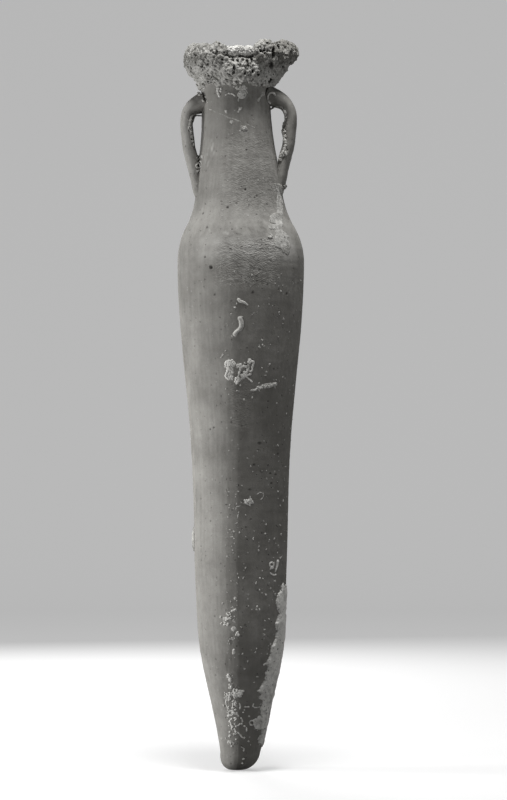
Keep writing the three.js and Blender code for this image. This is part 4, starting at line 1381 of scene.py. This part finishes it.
chance = np.random.default_rng(17)
crust_beads = [lump_beads(chance), skin_beads(chance), crust_details(chance)]
crust_beads += [np.array(crust_ring(*each)) for each in CRUST_RINGS]
crust_beads = np.vstack(crust_beads)
crust_look = {"rough": 0.85, "pit": 1.15, "holes": 0.65, "deep": 0.8, "seed": 201}
crust_look |= {"calm": CALM_CRUST, "dark": DARK_CRUST, "pale": crust_paleness_and_painted_light, "least": 1500.0}
# The front and the back run into each other at the sides, and the back is a little coarser.
FRONT_END = 97
BACK_START = 83
aside = np.abs(azimuth_and_height(crust_beads)[0])
growth_piece("coral_mouth_crust", "mouth_crust", [crust_beads[aside < FRONT_END]], cell=0.78, **crust_look)
growth_piece("coral_crust_back", None, [crust_beads[aside > BACK_START]], cell=0.85, **crust_look)


# Growth on the wall
# Worm tubes, barnacles and crusts of weed that the sea set on the clay, each where the photograph shows it.
# Places are pixels of the photograph; each is cast onto the jar from the camera, so all sits on the clay.
graph = bpy.context.evaluated_depsgraph_get()
CARRIERS = [f"thrown_{name}" for name in RINGS] + ["rolled_handle_right", "rolled_handle_left"]
carriers = [BVHTree.FromObject(bpy.data.objects[name], graph) for name in CARRIERS]


def seen_at(px, row):
    """The point of the jar in mm that the photograph shows at a pixel, and the way out of its surface."""
    eye = Vector(camera.location)
    aim = Vector(((px - AXIS_PIXEL) * PIXEL, 0, (GROUND_PIXEL - row) * PIXEL))
    way = (aim - eye).normalized()
    best = None
    for tree in carriers:
        place, normal, _, reach = tree.ray_cast(eye, way)
        if place is not None and (best is None or reach < best[0]):
            best = (reach, place, normal)
    if best is None:
        near = [tree.find_nearest(aim) for tree in carriers]
        place, normal, _, reach = min(near, key=lambda found: found[3])
        best = (reach, place, normal)
    return np.array(best[1]) / MM, np.array(best[2])


wall_chance = np.random.default_rng(5)
# Spacing in mm of the beads of a tube.
BEAD_STEP = 0.5


def laid(path, bore, lift=0.3, thinner=0.0, knots=0.0):
    """Beads of a tube laid along pixels of the photograph. It may thin towards its end and have knots."""
    places, normals = zip(*(seen_at(px, row) for px, row in path))
    places = np.array([place + normal * bore * lift for place, normal in zip(places, normals)])
    rough_length = np.sum(np.linalg.norm(np.diff(places, axis=0), axis=1))
    course = smooth_course(places, max(3, int(rough_length / BEAD_STEP)))
    share = np.linspace(0, 1, len(course))
    radius = bore / 2 * (1 - thinner * share)
    if knots:
        radius = radius * (1 + knots * wall_chance.normal(0, 1, len(course)).clip(-1.5, 1.5))
    return np.column_stack([course, radius])


def ring(px, row, half, bore, start=0, end=360, squash=1.0):
    """Beads of an open or closed ring, as the foot of a barnacle or a curled worm leaves."""
    turns = np.radians(np.linspace(start, end, max(6, int(abs(end - start) / 25))))
    path = [(px + half * math.cos(a), row - squash * half * math.sin(a)) for a in turns]
    return laid(path, bore, lift=0.25)


def tuft(px, row, half_x, half_y, thick, count, bead=(0.7, 1.5)):
    """Beads heaped in a ragged oval."""
    rows = []
    for _ in range(count):
        turn, share = wall_chance.uniform(0, 2 * math.pi), wall_chance.uniform(0, 1) ** 0.6
        reach = share * (0.8 + 0.35 * math.sin(3 * turn + px) * math.sin(2 * turn + row))
        place, normal = seen_at(px + half_x * reach * math.cos(turn), row + half_y * reach * math.sin(turn))
        size = wall_chance.uniform(*bead)
        lift = wall_chance.uniform(0, 1) * max(0.1, thick - size) * (1 - 0.6 * share**2)
        rows.append([*(place + normal * lift), size])
    return np.array(rows)


def inside_outline(px, row, outline):
    """Whether a pixel lies inside an outline of pixels."""
    inside = False
    for (ax, ay), (bx, by) in zip(outline, outline[1:] + outline[:1]):
        if (ay > row) != (by > row) and px < ax + (row - ay) / (by - ay) * (bx - ax):
            inside = not inside
    return inside


def sheet(outline, thick, spacing=1.0, bead=1.3, wild=0.35):
    """Beads packed inside an outline of pixels into a crust of even thickness."""
    columns = [px for px, _ in outline]
    lines = [row for _, row in outline]
    rows = []
    for row in np.arange(min(lines), max(lines), spacing / PIXEL_MM):
        for px in np.arange(min(columns), max(columns), spacing / PIXEL_MM):
            spot_px = px + wall_chance.uniform(-0.45, 0.45) * spacing
            spot_row = row + wall_chance.uniform(-0.45, 0.45) * spacing
            if inside_outline(spot_px, spot_row, outline):
                place, normal = seen_at(spot_px, spot_row)
                size = bead * wall_chance.uniform(1 - wild, 1 + wild)
                rows.append([*(place + normal * (thick - size)), size])
    return np.array(rows)


# Worm tubes on the belly: smooth limy tubes, the long one bent twice and cut off square at its foot.
long_tube = laid(
    [(240, 318.5), (241.2, 321.5), (241.3, 326), (239.5, 329.5), (236.4, 332.4), (235, 334)], 6.0, lift=0.2
)
growth_piece(
    "long_worm_tube", "worm_tube_long", [long_tube], cell=0.45, rough=0.08, holes=0.08, seed=11, pale=0.46
)
short_tube = laid(
    [(238.6, 299.6), (240.3, 301.2), (243.5, 302), (246, 303.6), (247.6, 304.8)], 4.3, lift=0.2, thinner=0.45
)
growth_piece(
    "short_worm_tube", "worm_tube_short", [short_tube], cell=0.4, rough=0.1, holes=0.1, seed=12, pale=0.6
)

# Neck: a thread-thin tube slants across it, and a round barnacle hangs on the crust's edge.
THREAD = [
    (206.3, 108.3), (211.9, 109.8), (215.4, 112.2), (222.1, 114.4), (228.5, 117.7), (232.8, 118.5),
    (240.7, 121.7), (247.8, 124.5), (254.6, 127.6),
]
columns = np.arange(THREAD[0][0], THREAD[-1][0], 2)
thread = list(zip(columns, np.interp(columns, *zip(*THREAD))))
parts = [
    laid(thread, 1.8, lift=0.45, knots=0.12),
    tuft(243.9, 128.0, 3.6, 2.4, 2.4, 46),
    tuft(231.6, 122.0, 2.2, 1.3, 1.6, 14, (0.6, 1.0)),
]
growth_piece("neck_thread_worm", "neck_thread", parts, cell=0.38, rough=0.12, holes=0.15, seed=13, pale=0.42)
parts = [
    ring(242, 94.4, 3.7, 2.4),
    tuft(242, 94.4, 3.0, 3.0, 1.5, 50),
    laid([(239.3, 97.4), (238.4, 99), (238.3, 101)], 1.9),
    laid([(239.6, 89.5), (242.5, 88.3), (245.4, 89.7), (247.3, 92.8)], 2.0),
    tuft(241.5, 88.2, 8.0, 2.6, 1.9, 90, (0.7, 1.2)),
    laid([(225.5, 95), (228, 93.5), (232, 93.7), (235.2, 95.8)], 1.5, knots=0.2),
]
growth_piece("round_barnacle", "neck_barnacle", parts, cell=0.42, rough=0.2, holes=0.2, seed=14, pale=0.78)

# A thin hard film that covers the bare stretch of rim and frays at its lower edge.
FILM = [
    (227.8, 47), (230, 46), (236, 45.9), (243, 45.9), (249, 46), (252.6, 46.4), (252.4, 50), (253, 54),
    (250, 55.2), (247, 54.6), (244.6, 56.4), (242, 56.2), (240.8, 53.6), (238.6, 53.2), (237.4, 56),
    (234, 56.8), (231.4, 55.4), (229, 56), (227.6, 52),
]
rim_film = sheet(FILM, 1.3, spacing=0.9, bead=1.1, wild=0.35)
growth_piece("rim_film", None, [rim_film], cell=0.5, rough=0.2, pit=1.4, holes=0.12, seed=41, pale=0.66)

# Small growth on the neck and the handles' roots, which the solids leave out.
neck_specks = [
    (240.3, 131.3, 1.4), (234.7, 110.4, 1.2), (252.9, 118.6, 0.9), (210.2, 109.3, 1.4), (258.1, 180.3, 0.9),
]
left_root = [
    (197.8, 92.2), (200.5, 89.6), (203.2, 91), (199.4, 94.6), (202.6, 95.4), (204.4, 88.6), (205.4, 97.6),
    (203.6, 101),
]
parts = [
    laid([(263.8, 92.7), (261.8, 95.2), (259.8, 98.2), (257.9, 101.4)], 3.2, knots=0.2),
    ring(262.9, 93.8, 1.6, 1.6),
    laid(
        [(274.9, 94.8), (273, 93), (270.2, 93.1), (268, 95.4), (267.8, 98.4), (268.6, 101), (270.3, 103)],
        2.2
    ),
    laid([(241.2, 107.8), (239.4, 109.6), (238.2, 112)], 3.2, knots=0.25),
    tuft(226, 111.4, 1.6, 2.2, 1.5, 12, (0.6, 1.0)),
    laid([(218.3, 88), (217.6, 91), (219.2, 95.6)], 3.4, knots=0.3),
    laid([(221.4, 88), (220.6, 91.4)], 2.8, knots=0.3),
    *[tuft(px, row, 0.5 * size, 0.5 * size, size, 5, (0.5, 0.8)) for px, row, size in neck_specks],
    *[tuft(px, row, 1.3, 1.2, 1.7, 8, (0.6, 1.1)) for px, row in left_root],
]
growth_piece("root_growth", None, parts, cell=0.42, rough=0.2, holes=0.25, seed=15, pale=0.72)

# Shoulder: a tall crust of flat pale plates below the right handle's foot.
strip = [
    (274.6, 183.6), (278, 184), (281.2, 185.6), (281.4, 189), (281.6, 193), (282.6, 197.5), (283, 204.4),
    (282.8, 212.6), (277.4, 213.4), (276.8, 206.7), (277.2, 197.5), (277.6, 193), (276.4, 189.5),
]
parts = [
    sheet(strip, 1.8, spacing=0.68, bead=1.1, wild=0.07),
    tuft(285.2, 186, 1.8, 2.6, 2.8, 34, (0.8, 1.3)),
]
growth_piece(
    "handle_foot_growth", "handle_foot_crust", parts, cell=0.5, rough=0.12, holes=0.08, seed=21, pale=0.37
)
upper_plate = [
    (270.8, 215.4), (273, 214), (276.4, 213.2), (280, 211.6), (282.4, 212), (282.6, 217), (282, 221),
    (282.4, 224.4), (279.6, 224.6), (276, 223.4), (272.6, 223.4), (269.8, 222), (270.2, 219),
]
middle_plate = [
    (269, 224.4), (272.6, 224.6), (276, 224.8), (279.6, 225.8), (282.2, 225.6), (281.4, 228.8), (277, 229.4),
    (273, 228.8), (270.6, 229.2), (268.8, 227.2),
]
lower_plate = [
    (276, 231), (279, 230.4), (283, 231), (286, 233.6), (287.8, 236.6), (287.2, 240), (289.4, 242.6),
    (290, 246), (289, 249.6), (289, 252.6), (287.6, 254.8), (285.4, 253.4), (282.6, 251.8), (281.8, 249),
    (278, 247.2), (275, 245.8), (274.8, 243.4), (275.6, 240.4), (275, 236.8), (276.8, 234),
]
plates = (upper_plate, middle_plate, lower_plate)
upper_bridge = [(276, 222.8), (282.4, 223.4), (282.3, 226.6), (276, 226)]
lower_bridge = [(275.4, 228), (281.4, 228), (283, 232), (276, 232.4)]
parts = [
    *[sheet(plate, 1.5, spacing=0.68, bead=1.05, wild=0.05) for plate in plates],
    *[sheet(bridge, 1.35, spacing=0.68, bead=1.0, wild=0.05) for bridge in (upper_bridge, lower_bridge)],
    tuft(270, 237.4, 2.0, 1.3, 2.0, 20),
    laid([(268.6, 233.2), (271.2, 234.6), (272.6, 236.4)], 1.6, knots=0.2),
    laid([(273.6, 238), (274.6, 240.6), (274.2, 243.4)], 1.6, knots=0.2),
]
growth_piece(
    "shoulder_plates", "shoulder_crust", parts, cell=0.48, rough=0.08, holes=0.05, seed=22, pale=0.39
)

# Belly: a lacy cluster of crust and small tubes, and a long flat streak beside it.
blob = [
    (225.1, 362.8), (229.3, 359.7), (234.2, 361), (234.9, 364.2), (232.5, 367.7), (233.2, 370.5),
    (232.4, 375), (232.8, 379.7), (228.6, 379.9), (225.3, 376.3), (226.5, 371.4), (228.4, 368.6),
    (225.3, 366),
]
lace = [
    [
        (239.1, 375.2), (239.6, 371.6), (241, 368), (244, 366.2), (246.8, 367.2), (247.4, 370.6),
        (246, 372.8), (243.8, 371.4),
    ],
    [(240.5, 380), (243.4, 377.4), (246.6, 375.6), (251, 374)],
    [(239.2, 374.6), (237.6, 377.4), (236.6, 380.6), (236.6, 383.6)],
    [(246.9, 369.4), (249.2, 370.4), (251.4, 371.6)],
    [(243.8, 371.4), (244.6, 374), (244.2, 377)],
]
parts = [
    sheet(blob, 2.4, bead=1.5),
    tuft(229, 376.5, 3.6, 3.2, 3.0, 46, (0.9, 1.6)),
    tuft(230.4, 362.6, 3.6, 2.4, 2.8, 36, (0.9, 1.5)),
    tuft(239, 365.8, 3.4, 2.6, 2.6, 46, (0.8, 1.4)),
    *[laid(path, 2.5, knots=0.22) for path in lace],
    laid([(246.4, 376.6), (249, 379), (251.9, 381.5)], 2.2, knots=0.1),
    tuft(237.6, 380.4, 2.8, 3.4, 2.6, 46, (0.8, 1.5)),
    tuft(243, 375.6, 3.6, 2.4, 2.0, 36, (0.7, 1.3)),
    laid([(248.9, 359.4), (250.4, 361.4), (253.8, 362), (252.7, 366), (252.2, 370.6)], 2.4, knots=0.22),
    tuft(250, 361.6, 2.2, 2.4, 2.0, 24),
    laid([(248.4, 365), (249, 368), (247.8, 370.5)], 2.0, knots=0.2),
]
growth_piece("belly_lace", "belly_crust", parts, cell=0.45, rough=0.16, holes=0.14, seed=31, pale=0.78)
parts = [
    laid([(250.2, 390.4), (255.3, 390), (258.4, 387)], 2.2, knots=0.25),
    laid([(257.6, 386.8), (264, 384.6), (270.4, 383.6), (276.6, 382.9)], 1.9, knots=0.2),
    laid([(258.6, 388), (265, 387.8), (271, 387), (275.8, 385.4), (276.8, 383.4)], 1.7, knots=0.2),
    sheet([(257, 387), (264, 385), (276, 383.4), (275.4, 385.6), (266, 387.8), (259, 388.6)], 0.8, bead=0.9),
    laid([(258, 388), (259.6, 391.2)], 1.9, knots=0.2),
    laid([(274.6, 385.4), (275, 388.4)], 1.5, knots=0.2),
]
growth_piece("belly_ribbon", "belly_streak", parts, cell=0.42, rough=0.15, holes=0.2, seed=32, pale=0.58)

# Waist: a small lacy tuft, and curled threads beside it.
curls = [
    [(244.4, 500), (246.8, 503.6), (250, 505.4)],
    [(251, 499.2), (253.6, 503.8)],
    [(244, 503), (247, 500.6)],
]
parts = [
    tuft(249, 501.4, 4.4, 3.4, 2.6, 60, (0.7, 1.3)),
    laid([(250.4, 498.6), (250, 496.4)], 1.8),
    *[laid(path, 1.7, knots=0.25) for path in curls],
    laid([(257, 494.2), (260.2, 492.5), (263.5, 493.8), (263.2, 497), (261, 499.4)], 1.3, knots=0.15),
    laid([(235.4, 509.6), (236.8, 507), (240.4, 505.9)], 1.3, knots=0.15),
    laid([(237.6, 518), (238.2, 514), (239, 511)], 1.2, knots=0.15),
]
growth_piece("waist_tuft", "waist_spot", parts, cell=0.4, rough=0.14, holes=0.15, seed=33, pale=0.75)


def heap(azimuth, height, wide, tall, thick, count, bead=(0.8, 1.5)):
    """Beads heaped in an oval by azimuth and height, for growth at the jar's edge or back."""
    rows = []
    for _ in range(count):
        turn, share = wall_chance.uniform(0, 2 * math.pi), math.sqrt(wall_chance.uniform(0, 1))
        at = height + tall / 2 * share * math.sin(turn)
        side = azimuth + math.degrees(wide / 2 * share * math.cos(turn) / float(radius_at(at)))
        size = wall_chance.uniform(*bead)
        lift = wall_chance.uniform(0, 1) * max(0.1, thick - size) * (1 - 0.7 * share**2)
        rows.append([*spot(side, float(radius_at(at)) + lift, at), size])
    return np.array(rows)


# Left flank: a low lump on the outline.
parts = [
    heap(-90, TAPER_TOP + 112, 17, 27, 1.5, 420, (1.0, 1.4)),
    heap(-91, TAPER_TOP + 111, 12, 19, 2.9, 240, (1.4, 2.1)),
]
growth_piece("flank_knob", "flank_lump", parts, cell=0.5, rough=0.06, holes=0.05, seed=34, pale=0.36)

# Right side: a ring-shaped scar of growth with a bar and a bow.
parts = [
    ring(271.8, 564.6, 2.1, 2.5),
    tuft(271.4, 568, 1.8, 1.6, 1.8, 24, (0.7, 1.1)),
    laid(
        [(277.6, 561.4), (277.2, 565), (276.4, 568.6), (275.4, 571.6)], 4.2, lift=0.2, thinner=0.4, knots=0.1
    ),
    laid([(270.6, 573.2), (273.4, 575), (276, 574.6)], 2.4, knots=0.15),
]
growth_piece("ring_scar", "ring_growth", parts, cell=0.4, rough=0.1, holes=0.1, seed=35, pale=0.95)

# Heel: small barnacles and their scars.
heel_scars = [
    (233.6, 638.9, 1.8), (234.8, 610.6, 1.5), (232.4, 611, 1.2), (233.9, 650, 1.0), (233.9, 653.3, 1.4),
    (235.2, 598.6, 1.0),
]
parts = [
    ring(233.7, 629, 1.7, 2.2),
    tuft(233.7, 629, 1.6, 1.6, 1.2, 12, (0.7, 1.0)),
    tuft(237.3, 633.8, 2.0, 2.1, 2.0, 26),
    *[tuft(px, row, half, half, 1.6, 16, (0.6, 1.1)) for px, row, half in heel_scars],
    ring(234.8, 620.8, 1.6, 1.3, 90, 300),
]
HEEL_SPECKS = 34
for _ in range(HEEL_SPECKS):
    px, row = 226 + wall_chance.normal(0, 3.2), 619 + wall_chance.normal(0, 4.0)
    parts.append(tuft(px, row, 0.9, 0.9, 1.1, 4, (0.55, 1.0)))
growth_piece("heel_barnacles", "heel_crust", parts, cell=0.42, rough=0.12, holes=0.12, seed=36, pale=0.7)

# Toe: a lace of crust that climbs the terminal cone.
ragged = [
    (232.6, 690.4), (235.4, 691.2), (236.8, 689.4), (239.6, 690.8), (244.4, 691), (242, 692.6),
    (243.2, 694.4), (239.8, 694.2), (238.6, 697.6), (236.4, 695.6), (233.4, 697), (234, 693.6),
]
left_edge = [
    (234.8, 703.4, 2.2, 3.6), (230.8, 687, 1.7, 3.4), (230.4, 679.4, 1.4, 2.4), (228.4, 675.6, 1.3, 2.0),
]
toe_lace = [
    [(239, 702.6), (240.4, 705.8), (239.6, 709.6)],
    [(225.6, 700), (226.6, 705.4), (228.4, 708.6)],
    [(234.4, 714.4), (237, 714.8), (239, 716.4)],
    [(228.6, 722), (231.6, 719), (236, 717.6)],
    [(236, 725.6), (238.4, 725.4), (240.2, 723.6)],
    [(230.8, 722.6), (231.4, 726), (232, 729.6)],
    [(244.2, 725.8), (246.6, 728), (246.4, 731)],
    [(238.2, 732.6), (240.4, 735), (241.6, 737)],
    [(234.6, 729), (235.8, 732)],
    [(244.4, 706.8), (248.6, 706.8)],
    [(241.4, 747.2), (243.8, 748.6), (243.6, 751)],
    [(241.2, 718), (242.4, 721), (241.4, 724)],
]
parts = [
    tuft(236, 694, 6.2, 5.2, 2.2, 120, (0.8, 1.4)),
    tuft(228.5, 697, 4.6, 5.6, 1.6, 60, (0.7, 1.3)),
    sheet(ragged, 1.4, bead=1.0, wild=0.5),
    *[tuft(px, row, half_x, half_y, 2.2, 34, (0.8, 1.4)) for px, row, half_x, half_y in left_edge],
    ring(231, 713.2, 2.4, 2.3),
    ring(232.4, 711.4, 1.2, 1.5),
    tuft(234.4, 713.4, 3.4, 1.8, 1.8, 26),
    *[laid(path, 1.9, knots=0.25) for path in toe_lace],
]
TOE_SPECKS = 46
for _ in range(TOE_SPECKS):
    px, row = 232.5 + wall_chance.normal(0, 4.2), 722 + wall_chance.uniform(-24, 22)
    parts.append(tuft(px, row, 1.0, 1.0, 1.2, 4, (0.55, 1.0)))
tip_specks = [(243.3, 759), (242.4, 763.2), (248.8, 741.5), (244.3, 737.7), (230.6, 742), (231.4, 746)]
parts += [tuft(px, row, 0.9, 0.9, 1.2, 7, (0.6, 1.0)) for px, row in tip_specks]
growth_piece("toe_lace", "toe_crust", parts, cell=0.45, rough=0.18, holes=0.2, seed=37, pale=0.78)

# Right flank: a long crust up the heel's right side and round it, its front edge ragged.
FLANK = {"foot": 27, "height": 197, "back": 106, "thick": 2.3, "row": 1.05, "column": 1.1}
FLANK_EDGE = [
    (262, 746), (258.8, 742.6), (258.1, 739), (262.2, 733), (261.6, 728.8), (257.4, 728), (257, 719),
    (260.4, 715), (261.6, 713), (260.9, 709.5), (262.2, 704.7), (263.6, 699.8), (262.2, 694.3),
    (258.6, 697.8), (258.1, 691.6), (261.4, 686), (265.3, 679.9), (265.7, 673), (267.8, 667.3), (266.9, 661),
    (270.4, 656.8), (271.1, 647.7), (275.3, 639.2), (276.7, 630.8), (275.6, 624.5), (277.4, 618.9),
    (279.5, 613.3), (277.4, 609), (276.3, 601.4), (278.1, 594.4), (280.6, 590.2), (281, 582),
]


def flank_beads():
    """Beads of the flank's crust, row by row from its foot: thin at its ragged edges and towards its top."""
    edge = [azimuth_and_height(seen_at(px, row)[0][None]) for px, row in FLANK_EDGE]
    edge_heights = np.array([height[0] for _, height in edge])
    edge_azimuths = np.array([azimuth[0] for azimuth, _ in edge])
    order = np.argsort(edge_heights)
    top = FLANK["foot"] + FLANK["height"]
    rows = []
    for height in np.arange(FLANK["foot"], top, FLANK["row"]):
        radius = float(radius_at(height))
        front = np.interp(height, edge_heights[order], edge_azimuths[order])
        front = front + math.degrees(wall_chance.normal(0, 0.7) / radius)
        back = FLANK["back"] + 9 * math.sin(height / 17) + math.degrees(wall_chance.normal(0, 0.7) / radius)
        at_back = spot(100, radius, height)
        back += 15 * float(rolling(at_back, 5, seed=95)) + 8 * float(rolling(at_back, 1.8, seed=96))
        above, below = height - FLANK["foot"], top - height
        ends = 28 * (1 - min(1, above / 12)) + 22 * (1 - min(1, below / 12))
        for azimuth in np.arange(front, back - ends, math.degrees(FLANK["column"] / radius)):
            from_front = (azimuth - front) * radius * math.pi / 180
            from_back = (back - ends - azimuth) * radius * math.pi / 180
            inner = min(1, from_front / 2.5, from_back / 5)
            size = (1.0 + 0.5 * inner) * wall_chance.uniform(0.7, 1.3)
            at = height + wall_chance.uniform(-0.4, 0.4)
            if at > top - 8 + 9 * float(rolling(spot(azimuth, radius, height), 3.5, seed=98)):
                continue
            taper = 0.3 + 0.7 * min(1, below / 60)
            patchy = float(rolling(spot(azimuth, radius, at), 8, seed=92))
            swell = 0.35 + 0.65 * inner * taper + 0.28 * patchy * inner
            rows.append([*spot(azimuth, radius + FLANK["thick"] * swell - size, at), size])
    return np.array(rows)


def flank_paleness(points):
    """Clean and even above, dirtier in patches towards the toe."""
    low = eased(-points[:, 2], -150, -60)
    dirt = 0.16 * np.clip(rolling(points, 7, seed=97), 0, 1) * eased(points[:, 1], -25, 10)
    patches = np.clip(rolling(points, 6, seed=93) + 0.5 * rolling(points, 2.5, seed=94), 0, 1)
    return 0.98 - dirt - low * (0.1 + 0.4 * patches)


# The ring's hole is sunk and painted near-black: painted shade in it.
ring_hole = [(252, 722.8, 1.4, 1.5)]
parts = [
    flank_beads(),
    ring(252, 722.8, 2.3, 2.2),
    ring(255.6, 723, 2.2, 2.2),
    sheet([(253, 719.6), (258.6, 718.6), (258.6, 728), (255, 727.8)], 1.6, bead=1.2),
    laid([(262.6, 706.4), (259.4, 706.9), (255.4, 707.6), (252.8, 706), (253.6, 703.8)], 2.0, knots=0.2),
    laid([(268.6, 667), (266.2, 663.4), (264, 664.6)], 2.2, knots=0.2),
]
flank_look = {"cell": 0.6, "rough": 0.42, "pit": 0.8, "holes": 0.14, "seed": 38}
growth_piece("flank_sheet", "flank_crust", parts, dark=ring_hole, pale=flank_paleness, **flank_look)

# Growth in the handles' openings: a pale rim round each, and small lumps down the straps' inner faces.
left_lumps = [
    (189.6, 127.3, 1.6), (190.8, 131, 1.3), (191.6, 136, 1.2), (198.3, 158.2, 2.4), (199.6, 162.4, 2.2),
    (201.6, 156.6, 1.4), (197.8, 171.2, 1.2),
]
inner_left = [(190.8, 118.6), (189.7, 123), (189.9, 128), (190.8, 133), (191.7, 138.6), (193, 145)]
inner_right = [
    (285.4, 111.4), (286.4, 117), (285.6, 122.4), (283.2, 127.4), (283.6, 133), (285.2, 139), (285.6, 146),
    (283.6, 152.4), (281, 158.6),
]
right_lumps = [
    (284.4, 123.6, 1.2), (282.6, 127.6, 1.8), (284.4, 131.4, 1.6), (285, 136, 1.4), (284.8, 150, 1.2),
    (282, 155.6, 1.8), (285.6, 153.8, 1.4), (280.4, 159.4, 1.6),
]
parts = [
    laid([(190.2, 118.4), (192, 115.4), (195, 113.6), (200.6, 112.5)], 1.9, knots=0.2),
    laid([(192.8, 120.6), (193.6, 117.8), (196, 116.2), (201.4, 115.8)], 1.7, knots=0.2),
    ring(191.4, 121.3, 1.5, 1.5),
    *[tuft(px, row, half, 1.4 * half, 2.2, int(14 * half), (0.7, 1.3)) for px, row, half in left_lumps],
    ring(198.2, 166, 2.2, 2.2),
    laid(inner_left, 2.3, lift=0.2, knots=0.38),
    laid(inner_right, 2.6, lift=0.2, knots=0.4),
    laid(
        [(271.6, 109.4), (273.6, 107), (277.4, 105.9), (282.6, 107.6), (285.8, 112.6), (286.6, 119.6)], 1.9,
        knots=0.2
    ),
    *[tuft(px, row, half, 1.5 * half, 2.4, int(15 * half), (0.7, 1.3)) for px, row, half in right_lumps],
]
growth_piece("slot_growth", None, parts, cell=0.45, rough=0.18, holes=0.25, seed=39, pale=0.47)

# Flecks: the first limy spots of young growth, strewn over the side that lay up on the sea bed.
FLECKS = [
    (257, 606.6), (256.4, 609.6), (259.5, 609.4), (269, 618.9), (264.8, 620.7), (264.4, 629.4), (264, 634.3),
    (260.2, 578.2), (263, 578.6), (270.7, 588.4), (273.5, 591.6), (275.3, 594.7), (274.9, 581.4),
    (265.8, 594.7), (245.5, 568), (267.6, 654), (242.7, 654.3), (257, 676.7), (249.1, 716.4), (258.8, 550.3),
    (266.4, 549.2), (253.4, 538.4), (265.3, 533.5), (281, 534), (274, 538.4), (265.9, 524.3), (280, 524.8),
    (283.2, 500.5), (266.9, 478.8), (277.8, 445.7), (269.6, 364.2), (266.5, 372), (265.8, 375.4),
    (225.8, 388.8), (240.5, 385.6), (237, 390.9), (252.5, 397.2), (259.1, 347), (262.6, 344.6),
    (279.1, 312.3), (223, 355), (221.6, 357.6), (231, 314), (237, 303.6), (234.6, 307.4), (242, 316.8),
    (258.8, 306), (233.9, 531.4), (244.3, 668.5),
]
parts = []
for px, row in FLECKS:
    wide, tall = wall_chance.uniform(0.5, 1.3, 2)
    parts.append(tuft(px, row, wide, tall, 1.1, wall_chance.integers(4, 9), (0.45, 0.9)))
WALL_FLECKS = 170
for _ in range(WALL_FLECKS):
    azimuth, height = wall_chance.uniform(-17, 84), wall_chance.uniform(30, 585)
    parts.append(heap(azimuth, height, 1.6, 1.9, 0.9, wall_chance.integers(1, 5), (0.42, 0.75)))
EDGE_FLECKS = 70
for _ in range(EDGE_FLECKS):
    azimuth, height = wall_chance.uniform(-19, -2), wall_chance.uniform(80, 340)
    parts.append(heap(azimuth, height, 1.4, 1.7, 0.8, wall_chance.integers(1, 4), (0.42, 0.65)))
growth_piece("fleck_growth", None, parts, cell=0.38, rough=0.1, holes=0.05, seed=40, pale=0.55)
